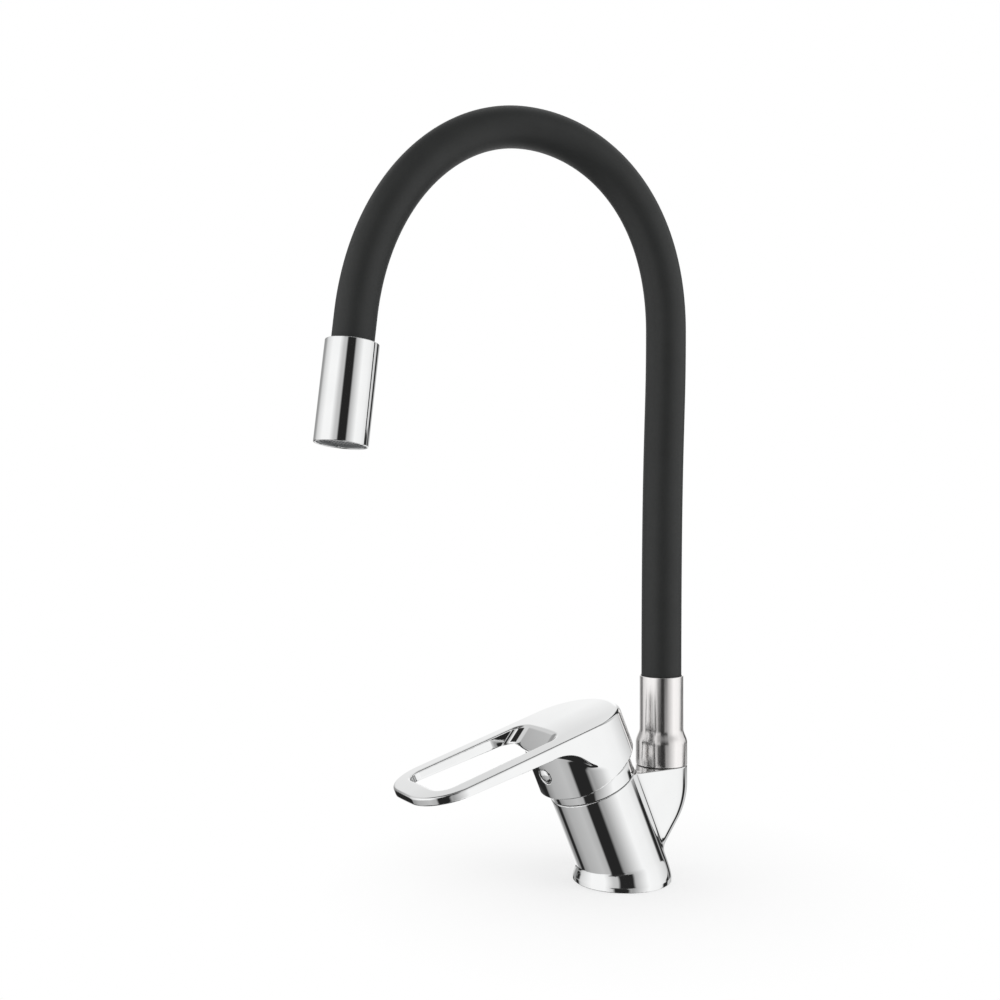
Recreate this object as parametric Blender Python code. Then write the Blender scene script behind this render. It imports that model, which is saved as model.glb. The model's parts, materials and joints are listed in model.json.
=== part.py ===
# A single-lever kitchen mixer tap with a flexible spout. Metres, +Z up, the lever reaches along -Y.
# The origin is the centre of the base, in the plane of the deck that the tap stands on.

import math

import bmesh
import bpy
from mathutils import Matrix, Vector

# Fits, shared by every piece
GAP = 0.0003  # between pieces that touch
EASE = 0.0006  # between pieces that slide or turn past each other
OVERRUN = 0.002  # how far a cutter runs past the face that it opens
EDGE = 0.0004  # the small round or bevel on turned edges

# Body: a cylinder that leans forward out of a round foot
LEAN = math.radians(23.15)
BODY_RADIUS = 0.0231
BODY_LENGTH = 0.0574  # along the leaning axis, from the deck plane
BODY_BACK = 0.0036  # how far behind the origin the leaning axis meets the deck plane
FOOT_RADIUS = 0.026
FOOT_RIM = 0.0020
FLARE_FRONT = 0.0082  # height of the waist at the front
FLARE_REAR = 0.0148  # height of the waist at the back
FLARE_PULL_SHARE = 0.62
GASKET_RADIUS = 0.0222
GASKET_WIDTH = 0.0024
GASKET_DEPTH = 0.0018

# Arm behind the body, which carries the spout
SPOUT_BACK = 0.026  # how far behind the origin the spout's upright axis stands
ARM_HALF_WIDTH = 0.0138
ARM_ABOVE = 0.0049  # how far the arm's top stands over the middle of the body's mouth
ARM_UPRIGHT = 0.0090  # the upright part of the arm's back, below its top
ARM_BEND_RADIUS = 0.032
ARM_SLOPE = math.radians(36)
ARM_FOOT = 0.0105  # where the arm has run out into the body
ARM_ROOT_BACK = -0.004  # where the arm starts, inside the body
SOCKET_RADIUS = 0.0079
SOCKET_DEPTH = 0.0225
PASSAGE_RADIUS = 0.0032

# Chamber for the cartridge, along the leaning axis
CHAMBER_DEPTH = 0.0254
CHAMBER_RADIUS = 0.0178
NUT_BORE_RADIUS = 0.0202
NUT_BORE_DEPTH = 0.0104
INLET_RADIUS = 0.0046
PORT_SIDE = 0.0078  # inlet ports, to each side of the axis
PORT_FRONT = 0.0025  # inlet ports, in front of the axis
OUTLET_BACK = 0.0085  # outlet port, behind the axis
PORT_RADIUS = 0.0028
STUD_RADIUS = 0.0034
STUD_DEPTH = 0.012
STUD_BACK = 0.0105
WELL_DEPTH = 0.0065

# Cartridge
BASE_PLATE = 0.0041
SEAL_RADIUS = 0.0045
SEAL_HEIGHT = 0.0019
SEAL_PROUD = 0.0006  # how far a seal stands out of the base plate
DISC_THICKNESS = 0.0035
FIXED_DISC_RADIUS = 0.0155
MOVING_DISC_RADIUS = 0.0128
DISC_REST_BACK = 0.0024  # the moving disc's offset with the lever down
SHELL_RADIUS = 0.0174
SHELL_WALL = 0.0010
SHELL_PLATE = 0.0020
NECK_RADIUS = 0.0136
NECK_WALL = 0.0016
NECK_HEIGHT = 0.0050
CARRIER_RADIUS = 0.0158
CARRIER_HEIGHT = 0.0117
PIN_RISE = 0.0068  # the lever's pin, above the carrier's underside
PIN_RADIUS = 0.0020
STEM_WIDTH = 0.0080
STEM_RISE = 0.0286  # of the stem's top, above the body's top
STEM_BALL_RADIUS = 0.0030
STEM_NECK_RADIUS = 0.0022
LIFT = math.radians(24)  # the lever's full lift
STEM_TOE = 0.0033  # how far the stem's ball centre lies above the fixed disc

# Nut and trim ring over the cartridge
NUT_FLANGE = 0.0030
NUT_FLATS = 0.0362
NUT_LIP = 0.0030
TRIM_RADIUS = 0.0229
TRIM_WALL = 0.0015
TRIM_SIDE = 0.0058
TRIM_CROWN = 0.0030
TRIM_HOLE_RADIUS = 0.0136

# Handle: a round skirt that runs out into a flat loop. Its heights are above the body's top
SKIRT_RADIUS = 0.0269
SKIRT_WALL = 0.0023
SKIRT_RISE = 0.0063
SKIRT_FLAT_FRONT = 0.015  # in front of this the skirt's lower edge is square to the axis
SKIRT_SLANT = 0.20
TOP_RISE = 0.0380  # the top face, where the leaning axis meets it
TOP_SLOPE = 0.112
TOP_CROWN = 0.0006
TOP_EDGE = 0.0008
TOP_EDGE_REAR = 0.0020  # the softer edge at the back of the handle
UNDERSIDE_RISE = 0.0348  # the lever's underside, where the web arc ends
UNDERSIDE_SLOPE = 0.150
WEB_START = 0.0097
WEB_FOOT = 0.0030  # where the web's edge has run out into the skirt, at the skirt's foot
WEB_RADIUS = 0.0203
WEB_FADE_ANGLE = math.radians(24.4)  # how far up its round the web's edge first stands off the skirt
WEB_FADE_RISE = 0.0190
LEVER_REACH = 0.0976
TIP_CORNER_RADIUS = 0.020
TIP_BULGE = 0.0012
SLOT_HALF_WIDTH = 0.0188
SLOT_START = 0.0170
TIP_BAND = 0.0106  # from the slot's end to the tip
SLOT_CORNER_RADIUS = 0.008
RAMP_DROP = 0.0065
RAMP_LENGTH = 0.0120
ROOF_RISE = 0.0318
BOSS_RADIUS = 0.0085
BOSS_RISE = 0.0158
INDEX_RISE = 0.0193
INDEX_TURN = math.radians(10)  # the plug and the screw stand off the lever's middle line
INDEX_RADIUS = 0.0038
INDEX_DEPTH = 0.0030
INDEX_DOME = 0.0008
GRUB_RADIUS = 0.0024
GRUB_LENGTH = 0.0036

# Spout foot: nipple, seals, clip and cover
SPOUT_SWING = math.radians(11.5)  # the photographed swing, to the left of the lever
WASHER_THICKNESS = 0.0010
NIPPLE_RADIUS = 0.0076
NIPPLE_BORE = 0.0045
NIPPLE_FLANGE_RADIUS = 0.0123
NIPPLE_FLANGE = 0.0030
NIPPLE_HEAD_RADIUS = 0.0092
NIPPLE_HEAD = 0.0140
TAIL_RADIUS = 0.0066
TAIL_SEAT_DEPTH = 0.0085
ORING_WIDTH = 0.0014
ORING_LOWER_DEPTH = 0.0162  # below the arm's top
ORING_UPPER_DEPTH = 0.0062
CLIP_DEPTH = 0.0112
CLIP_THICKNESS = 0.0011
CLIP_REACH = 0.0007
CLIP_OPENING = math.radians(50)
COVER_RADIUS = 0.01385
COVER_NECK_RADIUS = 0.01177
COVER_STEP = 0.0118  # height of the wide part
COVER_TAPER = 0.0072
COVER_HEIGHT = 0.0474
COVER_WALL = 0.0012
TAPER_SHARES = ((0.15, 0.25), (0.85, 0.75))  # how far in and how far up, along the soft taper

# Hose: skin, gooseneck core and water hose, all on one route
SKIN_RADIUS = 0.0107
SKIN_BORE = 0.0088
SKIN_SEAT = 0.0090  # how deep the skin sits in the lower sleeve and in the head
CUP_RADIUS = 0.0083
CUP_BORE = 0.00755
BALL_RADIUS = 0.0070
BALL_MOUTH = 0.0058
LINK_NECK_RADIUS = 0.0060
LINK_BORE = 0.0050
WATER_RADIUS = 0.0034
WATER_BORE = 0.0024
STEM_JOINTS = 5
ARCH_JOINTS = 12
FIRST_JOINT = 0.0135  # the lowest ball, above the cover's top
LAST_STEM_JOINT = 0.0054  # the stem's topmost ball, below the arch's foot

# Route of the hose in the spout's own plane: (reach, height) at real size
ARCH_TOP_HEIGHT = 0.3927
ARCH_TOP_REACH = 0.0797
ARCH_FOOT_BACK = 0.0027
ARCH_RISE = 0.1024  # from the arch's foot to its top
HEAD_REACH = 0.1699
HEAD_DROP = 0.1159  # from the arch's top to the head's top
HEAD_SIDE = 0.0060
HEAD_TILT = math.radians(7.4)  # of the head's axis, outward from upright
HEAD_TURN = math.radians(4.5)  # of the head's axis, sideways from upright
STEM_PULL_SHARES = (0.740, 0.280)  # of the stem, for the curve's handles at its foot and its top
RISE_PULL_SHARES = (0.688, 0.485)  # of the rise, and of the reach from the arch's foot to its top
FALL_PULL_SHARES = (0.457, 0.542)  # of the reach from the arch's top to the head, and of the drop

# Head
HEAD_RADIUS = 0.01365
HEAD_LENGTH = 0.0509
HEAD_WALL = 0.0013
HEAD_CAP = 0.0020
TAIL_REACH = 0.0140  # from the topmost cup to the head's top
TAIL_FLANGE = 0.0040
AERATOR_LENGTH = 0.0120
AERATOR_WALL = 0.0016
AERATOR_SHY = 0.0006  # how far the aerator sits inside the rim
NOTCH_WIDTH = 0.0030
NOTCH_DEPTH = 0.0011
AERATOR_SEAL = 0.0020
INSERT_THICKNESS = 0.0040
INSERT_SHY = 0.0010
INSERT_HOLE_RADIUS = 0.0010
INSERT_RING_RADIUS = 0.0058
INSERT_HOLES = 10
INNER_HOLES = 5

# Facets
FINE = 40
ROUND = 24
COARSE = 16
LINK_SIDES = 10
SKIN_SIDES = 18
SKIN_STEM_RINGS = 6
SKIN_ARCH_RINGS = 30
WATER_SIDES = 8

# Places that follow from the sizes above
CHAMBER_FLOOR = BODY_LENGTH - CHAMBER_DEPTH
ARM_TOP = BODY_LENGTH * math.cos(LEAN) + ARM_ABOVE
SPOUT_AXIS = Vector((0, SPOUT_BACK, 0))
LEAN_PLACE = Matrix.Translation((0, BODY_BACK, 0)) @ Matrix.Rotation(LEAN, 4, "X")
SPOUT_PLACE = Matrix.Translation(SPOUT_AXIS) @ Matrix.Rotation(-SPOUT_SWING, 4, "Z")
PLATE_FOOT = CHAMBER_FLOOR + GAP + SEAL_PROUD
PLATE_TOP = PLATE_FOOT + BASE_PLATE
FIXED_FOOT = PLATE_TOP + GAP
FIXED_TOP = FIXED_FOOT + DISC_THICKNESS
MOVING_FOOT = FIXED_TOP + GAP
MOVING_TOP = MOVING_FOOT + DISC_THICKNESS
CARRIER_FOOT = MOVING_TOP + EASE
CARRIER_TOP = CARRIER_FOOT + CARRIER_HEIGHT
PIN_HEIGHT = CARRIER_FOOT + PIN_RISE
SHELL_SHOULDER = CARRIER_TOP + GAP + SHELL_PLATE
NECK_TOP = SHELL_SHOULDER + NECK_HEIGHT
STEM_TOP = BODY_LENGTH + STEM_RISE
SKIRT_FOOT = BODY_LENGTH + SKIRT_RISE
TOP_HEIGHT = BODY_LENGTH + TOP_RISE
UNDERSIDE_HEIGHT = BODY_LENGTH + UNDERSIDE_RISE
WEB_FADE_HEIGHT = BODY_LENGTH + WEB_FADE_RISE
ROOF_HEIGHT = BODY_LENGTH + ROOF_RISE
BOSS_FOOT = BODY_LENGTH + BOSS_RISE
INDEX_HEIGHT = BODY_LENGTH + INDEX_RISE
SLOT_END = LEVER_REACH - TIP_BAND
ORING_LOWER = ARM_TOP - ORING_LOWER_DEPTH
ORING_UPPER = ARM_TOP - ORING_UPPER_DEPTH
CLIP_HEIGHT = ARM_TOP - CLIP_DEPTH
COVER_FOOT = ARM_TOP + GAP
COVER_TOP = COVER_FOOT + COVER_HEIGHT
PORTS = ((-PORT_SIDE, -PORT_FRONT), (PORT_SIDE, -PORT_FRONT), (0, OUTLET_BACK))


def clear_scene():
    for old in list(bpy.data.objects):
        bpy.data.objects.remove(old)


def finish(name, color, roughness, metallic):
    material = bpy.data.materials.new(name)
    material.use_nodes = True
    shader = material.node_tree.nodes["Principled BSDF"]
    shader.inputs["Base Color"].default_value = (*color, 1)
    shader.inputs["Roughness"].default_value = roughness
    shader.inputs["Metallic"].default_value = metallic
    material.diffuse_color = (*color, 1)
    return material


def add(name, bm, look, parent=None):
    """Makes a closed bmesh an object, with its normals facing out and its round faces smooth."""
    bmesh.ops.recalc_face_normals(bm, faces=bm.faces)
    mesh = bpy.data.meshes.new(name)
    bm.to_mesh(mesh)
    bm.free()
    mesh.shade_smooth()
    mesh.set_sharp_from_angle(angle=math.radians(35))
    mesh.materials.append(look)
    made = bpy.data.objects.new(name, mesh)
    made.parent = parent
    bpy.context.scene.collection.objects.link(made)
    return made


def empty(name, parent, place):
    made = bpy.data.objects.new(name, None)
    made.parent = parent
    made.matrix_local = place
    bpy.context.scene.collection.objects.link(made)
    return made


def hang(made, pivot):
    """Gives a piece to the empty on its joint's axis, without moving it."""
    made.parent = pivot
    made.matrix_parent_inverse = pivot.matrix_basis.inverted()


def hide(cutter):
    cutter.hide_render = True
    cutter.display_type = "WIRE"
    return cutter


def combine(target, other, operation):
    boolean = target.modifiers.new(other.name, "BOOLEAN")
    boolean.operation = operation
    boolean.object = other
    boolean.solver = "EXACT"
    hide(other)


def skin_rings(bm, rings, closed):
    """Faces between rings of equal length; an open row gets a cap at each end."""
    made = [[bm.verts.new(point) for point in ring] for ring in rings]
    count = len(rings[0])
    pairs = list(zip(made, made[1:]))
    if closed:
        pairs.append((made[-1], made[0]))
    for low, high in pairs:
        for i in range(count):
            j = (i + 1) % count
            bm.faces.new((low[i], low[j], high[j], high[i]))
    if not closed:
        bm.faces.new(made[0])
        bm.faces.new(made[-1])
    return bm


def circle(radius, height, sides, turn=0.0):
    step = 2 * math.pi / sides
    return [
        Vector((radius * math.cos(turn + i * step), radius * math.sin(turn + i * step), height))
        for i in range(sides)
    ]


def turned(profile, sides, closed=True):
    """A turned shape round Z. The profile is (radius, height); a closed one leaves a bore."""
    return skin_rings(bmesh.new(), [circle(r, z, sides) for r, z in profile], closed)


def arc(centre, radius, start, end, steps):
    """Points on an arc in a flat plane, as (first, second) coordinates."""
    turn = (end - start) / steps
    return [
        (
            centre[0] + radius * math.cos(start + i * turn),
            centre[1] + radius * math.sin(start + i * turn),
        )
        for i in range(steps + 1)
    ]


def block(low, high):
    bm = bmesh.new()
    bmesh.ops.create_cube(bm, size=1)
    low, high = Vector(low), Vector(high)
    scale = Matrix.Diagonal((*(high - low), 1))
    bm.transform(Matrix.Translation((low + high) / 2) @ scale)
    return bm


def rod(start, end, radius, sides):
    """A plain cylinder between two points."""
    start, end = Vector(start), Vector(end)
    along = end - start
    bm = turned([(radius, 0), (radius, along.length)], sides, closed=False)
    bm.transform(Matrix.Translation(start) @ along.to_track_quat("Z", "Y").to_matrix().to_4x4())
    return bm


def extruded(outline, start, end):
    """A side view of (forward, up) points, drawn across X from start to end. Forward is -Y."""
    rings = [[Vector((x, -forward, up)) for forward, up in outline] for x in (start, end)]
    return skin_rings(bmesh.new(), rings, closed=False)


def torus(radius, thick, height, sides):
    return turned(arc((radius, height), thick, 0, 2 * math.pi * 7 / 8, 7), sides)


# Body


def body_ring(s, radius=BODY_RADIUS):
    return [LEAN_PLACE @ point for point in circle(radius, s, FINE)]


def waist_point(angle):
    """The point of the leaning cylinder at this angle where the flare of the foot ends."""
    rear_share = (1 + math.sin(angle)) / 2
    height = FLARE_FRONT + (FLARE_REAR - FLARE_FRONT) * rear_share
    rise = BODY_RADIUS * math.sin(angle) * math.sin(LEAN)
    s = (height - rise) / math.cos(LEAN)
    flat = Vector((BODY_RADIUS * math.cos(angle), BODY_RADIUS * math.sin(angle), s))
    return LEAN_PLACE @ flat


def flare_ring(share):
    """A ring of the foot's flare, from the upright rim (0) to the waist (1)."""
    down = LEAN_PLACE.to_3x3() @ Vector((0, 0, -1))
    ring = []
    for i in range(FINE):
        angle = 2 * math.pi * i / FINE
        rim = Vector((FOOT_RADIUS * math.cos(angle), FOOT_RADIUS * math.sin(angle), FOOT_RIM))
        waist = waist_point(angle)
        pull = waist + down * ((waist.z - FOOT_RIM) / math.cos(LEAN) * FLARE_PULL_SHARE)
        ring.append(
            rim * (1 - share) ** 2 + pull * 2 * share * (1 - share) + waist * share**2
        )
    return ring


def body_blank():
    rings = [
        circle(FOOT_RADIUS - EDGE, 0, FINE),
        circle(FOOT_RADIUS, EDGE, FINE),
        circle(FOOT_RADIUS, FOOT_RIM, FINE),
        flare_ring(0.25),
        flare_ring(0.5),
        flare_ring(0.75),
        flare_ring(1),
        body_ring(BODY_LENGTH - EDGE),
        body_ring(BODY_LENGTH, BODY_RADIUS - EDGE),
    ]
    return skin_rings(bmesh.new(), rings, closed=False)


def arm_centre(z):
    """How far behind the origin the round back of the arm is centred, at a height."""
    below = ARM_TOP - ARM_UPRIGHT - z
    if below <= 0:
        return SPOUT_BACK
    bend = ARM_BEND_RADIUS * math.sin(ARM_SLOPE)
    if below <= bend:
        return SPOUT_BACK - ARM_BEND_RADIUS * (1 - math.sqrt(1 - (below / ARM_BEND_RADIUS) ** 2))
    slope = math.tan(ARM_SLOPE)
    return SPOUT_BACK - ARM_BEND_RADIUS * (1 - math.cos(ARM_SLOPE)) - (below - bend) * slope


def arm_blank():
    rings = []
    levels = 9
    for i in range(levels + 1):
        z = ARM_TOP + (ARM_FOOT - ARM_TOP) * i / levels
        back = arc((0, arm_centre(z)), ARM_HALF_WIDTH, 0, math.pi, 12)
        root = [(-ARM_HALF_WIDTH, ARM_ROOT_BACK), (ARM_HALF_WIDTH, ARM_ROOT_BACK)]
        rings.append([Vector((x, y, z)) for x, y in back + root])
    return skin_rings(bmesh.new(), rings, closed=False)


def leaning(bm):
    bm.transform(LEAN_PLACE)
    return bm


def chamber_cut():
    profile = [
        (CHAMBER_RADIUS, CHAMBER_FLOOR),
        (CHAMBER_RADIUS, BODY_LENGTH - NUT_BORE_DEPTH),
        (NUT_BORE_RADIUS, BODY_LENGTH - NUT_BORE_DEPTH),
        (NUT_BORE_RADIUS, BODY_LENGTH + OVERRUN),
    ]
    return leaning(turned(profile, FINE, closed=False))


def inlet_foot(side):
    """Where an inlet's upright bore meets the deck plane, under its port in the chamber."""
    port = LEAN_PLACE @ Vector((side * PORT_SIDE, -PORT_FRONT, CHAMBER_FLOOR))
    return Vector((port.x, port.y, 0))


def mixer_body(look):
    body = add("mixer_body", body_blank(), look)
    combine(body, add("join_arm", arm_blank(), look), "UNION")
    combine(body, add("cut_chamber", chamber_cut(), look), "DIFFERENCE")
    port_top = (LEAN_PLACE @ Vector((0, 0, CHAMBER_FLOOR))).z + OVERRUN
    for side, word in ((-1, "left"), (1, "right")):
        foot = inlet_foot(side)
        start = foot - Vector((0, 0, OVERRUN))
        bore = rod(start, (foot.x, foot.y, port_top), INLET_RADIUS, COARSE)
        combine(body, add("cut_inlet_" + word, bore, look), "DIFFERENCE")
    stud = rod((0, STUD_BACK, -OVERRUN), (0, STUD_BACK, STUD_DEPTH), STUD_RADIUS, COARSE)
    combine(body, add("cut_stud", stud, look), "DIFFERENCE")
    groove = [
        (GASKET_RADIUS - GASKET_WIDTH / 2, -OVERRUN),
        (GASKET_RADIUS - GASKET_WIDTH / 2, GASKET_DEPTH),
        (GASKET_RADIUS + GASKET_WIDTH / 2, GASKET_DEPTH),
        (GASKET_RADIUS + GASKET_WIDTH / 2, -OVERRUN),
    ]
    combine(body, add("cut_gasket", turned(groove, FINE), look), "DIFFERENCE")
    clip_half = CLIP_THICKNESS / 2 + GAP
    clip_wall = SOCKET_RADIUS + CLIP_REACH + GAP
    socket = [
        (SOCKET_RADIUS, ARM_TOP - SOCKET_DEPTH),
        (SOCKET_RADIUS, CLIP_HEIGHT - clip_half),
        (clip_wall, CLIP_HEIGHT - clip_half),
        (clip_wall, CLIP_HEIGHT + clip_half),
        (SOCKET_RADIUS, CLIP_HEIGHT + clip_half),
        (SOCKET_RADIUS, ARM_TOP + OVERRUN),
    ]
    bore = turned(socket, ROUND, closed=False)
    bore.transform(Matrix.Translation(SPOUT_AXIS))
    combine(body, add("cut_socket", bore, look), "DIFFERENCE")
    well_foot = Vector((0, OUTLET_BACK, CHAMBER_FLOOR - WELL_DEPTH))
    well = rod(well_foot, (0, OUTLET_BACK, CHAMBER_FLOOR + OVERRUN), PASSAGE_RADIUS, COARSE)
    combine(body, add("cut_well", leaning(well), look), "DIFFERENCE")
    socket_foot = SPOUT_AXIS + Vector((0, 0, ARM_TOP - SOCKET_DEPTH + PASSAGE_RADIUS / 2))
    passage = rod(LEAN_PLACE @ well_foot, socket_foot, PASSAGE_RADIUS, 12)
    combine(body, add("cut_passage", passage, look), "DIFFERENCE")
    return body


def base_gasket(look):
    profile = [
        (GASKET_RADIUS - GASKET_WIDTH / 2 + GAP, 0),
        (GASKET_RADIUS + GASKET_WIDTH / 2 - GAP, 0),
        (GASKET_RADIUS + GASKET_WIDTH / 2 - GAP, GASKET_DEPTH - GAP),
        (GASKET_RADIUS - GASKET_WIDTH / 2 + GAP, GASKET_DEPTH - GAP),
    ]
    return add("base_gasket", turned(profile, FINE), look)


# Cartridge: every piece here stands in the leaning frame


def drill_ports(plate, foot, top, radius, look, word):
    for i, (x, y) in enumerate(PORTS):
        hole = rod((x, y, foot - OVERRUN), (x, y, top + OVERRUN), radius, 10)
        combine(plate, add(f"cut_{word}_{i}", hole, look, plate.parent), "DIFFERENCE")


def cartridge_base(look, frame):
    disc = turned([(SHELL_RADIUS, PLATE_FOOT), (SHELL_RADIUS, PLATE_TOP)], ROUND, closed=False)
    plate = add("cartridge_base", disc, look, frame)
    drill_ports(plate, PLATE_FOOT, PLATE_TOP, PORT_RADIUS, look, "base_port")
    pocket_top = CHAMBER_FLOOR + GAP + SEAL_HEIGHT + GAP
    for i, (x, y) in enumerate(PORTS):
        pocket = rod((x, y, PLATE_FOOT - OVERRUN), (x, y, pocket_top), SEAL_RADIUS + GAP, COARSE)
        combine(plate, add(f"cut_pocket_{i}", pocket, look, frame), "DIFFERENCE")


def port_seals(look, frame):
    foot = CHAMBER_FLOOR + GAP
    for word, (x, y) in zip(("left", "right", "outlet"), PORTS):
        profile = [
            (PORT_RADIUS, foot),
            (SEAL_RADIUS, foot),
            (SEAL_RADIUS, foot + SEAL_HEIGHT),
            (PORT_RADIUS, foot + SEAL_HEIGHT),
        ]
        ring = turned(profile, 12)
        ring.transform(Matrix.Translation((x, y, 0)))
        add("port_seal_" + word, ring, look, frame)


def fixed_disc(look, frame):
    profile = [(FIXED_DISC_RADIUS, FIXED_FOOT), (FIXED_DISC_RADIUS, FIXED_TOP)]
    disc = add("fixed_ceramic_disc", turned(profile, ROUND, closed=False), look, frame)
    drill_ports(disc, FIXED_FOOT, FIXED_TOP, PORT_RADIUS, look, "disc_port")


def moving_disc(look, frame):
    """Slides along the lever's direction. Its top holds the pocket for the stem's ball."""
    profile = [(MOVING_DISC_RADIUS, MOVING_FOOT), (MOVING_DISC_RADIUS, MOVING_TOP)]
    bm = turned(profile, ROUND, closed=False)
    bm.transform(Matrix.Translation((0, DISC_REST_BACK, 0)))
    disc = add("moving_ceramic_disc", bm, look, frame)
    pocket_foot = FIXED_TOP + STEM_TOE - STEM_BALL_RADIUS - GAP
    pocket = rod((0, 0, pocket_foot), (0, 0, MOVING_TOP + OVERRUN), STEM_BALL_RADIUS + EASE, COARSE)
    combine(disc, add("cut_ball_pocket", pocket, look, frame), "DIFFERENCE")


def cartridge_shell(look, frame):
    inner = SHELL_RADIUS - SHELL_WALL
    neck_inner = NECK_RADIUS - NECK_WALL
    profile = [
        (SHELL_RADIUS, SHELL_SHOULDER),
        (SHELL_RADIUS, FIXED_FOOT),
        (inner, FIXED_FOOT),
        (inner, SHELL_SHOULDER - SHELL_PLATE),
        (neck_inner, SHELL_SHOULDER - SHELL_PLATE),
        (neck_inner, NECK_TOP),
        (NECK_RADIUS, NECK_TOP),
        (NECK_RADIUS, SHELL_SHOULDER),
    ]
    add("cartridge_housing", turned(profile, ROUND), look, frame)


def stem_swing(height):
    """How far the stem's axis swings to each side at a height above or below its pin."""
    return abs(height - PIN_HEIGHT) * math.tan(LIFT)


def cartridge_carrier(look, frame):
    profile = [(CARRIER_RADIUS, CARRIER_FOOT), (CARRIER_RADIUS, CARRIER_TOP)]
    disc = turned(profile, ROUND, closed=False)
    carrier = add("cartridge_carrier", disc, look, frame)
    half = STEM_WIDTH / 2
    slot = block(
        (-half - EASE, -half - stem_swing(CARRIER_FOOT) - EASE, CARRIER_FOOT - OVERRUN),
        (half + EASE, half + stem_swing(CARRIER_TOP) + EASE, CARRIER_TOP + OVERRUN),
    )
    combine(carrier, add("cut_stem_slot", slot, look, frame), "DIFFERENCE")
    end = CARRIER_RADIUS + OVERRUN
    hole = rod((-end, 0, PIN_HEIGHT), (end, 0, PIN_HEIGHT), PIN_RADIUS + GAP, 12)
    combine(carrier, add("cut_pin_hole", hole, look, frame), "DIFFERENCE")
    for side, word in ((-1, "left"), (1, "right")):
        inner = MOVING_DISC_RADIUS + EASE
        outer = CARRIER_RADIUS - GAP
        deep = math.sqrt(CARRIER_RADIUS**2 - outer**2)
        near, far = sorted((side * inner, side * outer))
        lug = block((near, -deep, MOVING_FOOT + GAP), (far, deep, CARRIER_FOOT + OVERRUN))
        combine(carrier, add("join_lug_" + word, lug, look, frame), "UNION")


def stem_pin(look, frame):
    half = CARRIER_RADIUS - GAP
    pin = rod((-half, 0, PIN_HEIGHT), (half, 0, PIN_HEIGHT), PIN_RADIUS, 12)
    add("stem_pin", pin, look, frame)


def lever_stem(look, frame, pin):
    half = STEM_WIDTH / 2
    toe_centre = FIXED_TOP + STEM_TOE
    toe_top = toe_centre + STEM_BALL_RADIUS
    shank = add("lever_stem", block((-half, -half, toe_top), (half, half, STEM_TOP)), look, frame)
    neck = rod((0, 0, toe_centre), (0, 0, toe_top + OVERRUN), STEM_NECK_RADIUS, 10)
    combine(shank, add("join_toe_neck", neck, look, frame), "UNION")
    toe = bmesh.new()
    bmesh.ops.create_uvsphere(toe, u_segments=12, v_segments=8, radius=STEM_BALL_RADIUS)
    toe.transform(Matrix.Translation((0, 0, toe_centre)))
    combine(shank, add("join_toe", toe, look, frame), "UNION")
    end = half + OVERRUN
    hole = rod((-end, 0, PIN_HEIGHT), (end, 0, PIN_HEIGHT), PIN_RADIUS + GAP, 12)
    combine(shank, add("cut_stem_hole", hole, look, frame), "DIFFERENCE")
    hang(shank, pin)


def cartridge_nut(look, frame):
    """Threads into the body's mouth and holds the cartridge down by its shoulder."""
    flange_foot = BODY_LENGTH + GAP
    inner = SHELL_RADIUS + GAP
    lip_foot = SHELL_SHOULDER + GAP
    lip_top = lip_foot + NUT_LIP
    foot = BODY_LENGTH - NUT_BORE_DEPTH + GAP
    thread = turned([(NUT_BORE_RADIUS - GAP, foot), (NUT_BORE_RADIUS - GAP, lip_top)], ROUND, closed=False)
    nut = add("cartridge_nut", thread, look, frame)
    corner = NUT_FLATS / 2 / math.cos(math.pi / 6)
    faces = [(corner, flange_foot), (corner, flange_foot + NUT_FLANGE)]
    combine(nut, add("join_hexagon", turned(faces, 6, closed=False), look, frame), "UNION")
    bore = [
        (inner, foot - OVERRUN),
        (inner, lip_foot),
        (NECK_RADIUS + GAP, lip_foot),
        (NECK_RADIUS + GAP, lip_top + OVERRUN),
    ]
    combine(nut, add("cut_nut_bore", turned(bore, ROUND, closed=False), look, frame), "DIFFERENCE")


def trim_ring(look, frame):
    foot = BODY_LENGTH + GAP
    shoulder = foot + TRIM_SIDE
    inner = TRIM_RADIUS - TRIM_WALL
    top = shoulder + TRIM_CROWN
    crown = [
        (TRIM_RADIUS - TRIM_CROWN + x, shoulder + y)
        for x, y in arc((0, 0), TRIM_CROWN, 0, math.pi / 2, 4)
    ]
    profile = [
        (inner, shoulder + TRIM_CROWN - TRIM_WALL),
        (inner, foot),
        (TRIM_RADIUS, foot),
        *crown,
        (TRIM_HOLE_RADIUS, top),
        (TRIM_HOLE_RADIUS, top - TRIM_WALL),
    ]
    add("trim_ring", turned(profile, FINE), look, frame)


# Handle


def handle_outline(inset=0.0):
    """The handle seen along its axis, as (x, forward): a half round back, straight sides, a soft tip."""
    side = SKIRT_RADIUS - inset
    reach = LEVER_REACH - TIP_BULGE - inset
    corner = TIP_CORNER_RADIUS - inset
    back = arc((0, 0), side, math.pi, 2 * math.pi, 20)
    right = arc((side - corner, reach - corner), corner, 0, math.pi / 2, 6)
    left = arc((corner - side, reach - corner), corner, math.pi / 2, math.pi, 6)
    swell = [
        (x, y + TIP_BULGE * (1 - (x / side) ** 2) if y > reach - corner else y)
        for x, y in right + left
    ]
    return back + swell


def top_at(forward):
    return TOP_HEIGHT + TOP_SLOPE * forward


def edge_at(forward):
    """The size of the rounded top edge: softer at the back of the skirt."""
    behind_share = min(1, max(0, -forward / SKIRT_RADIUS))
    return TOP_EDGE + (TOP_EDGE_REAR - TOP_EDGE) * behind_share


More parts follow.
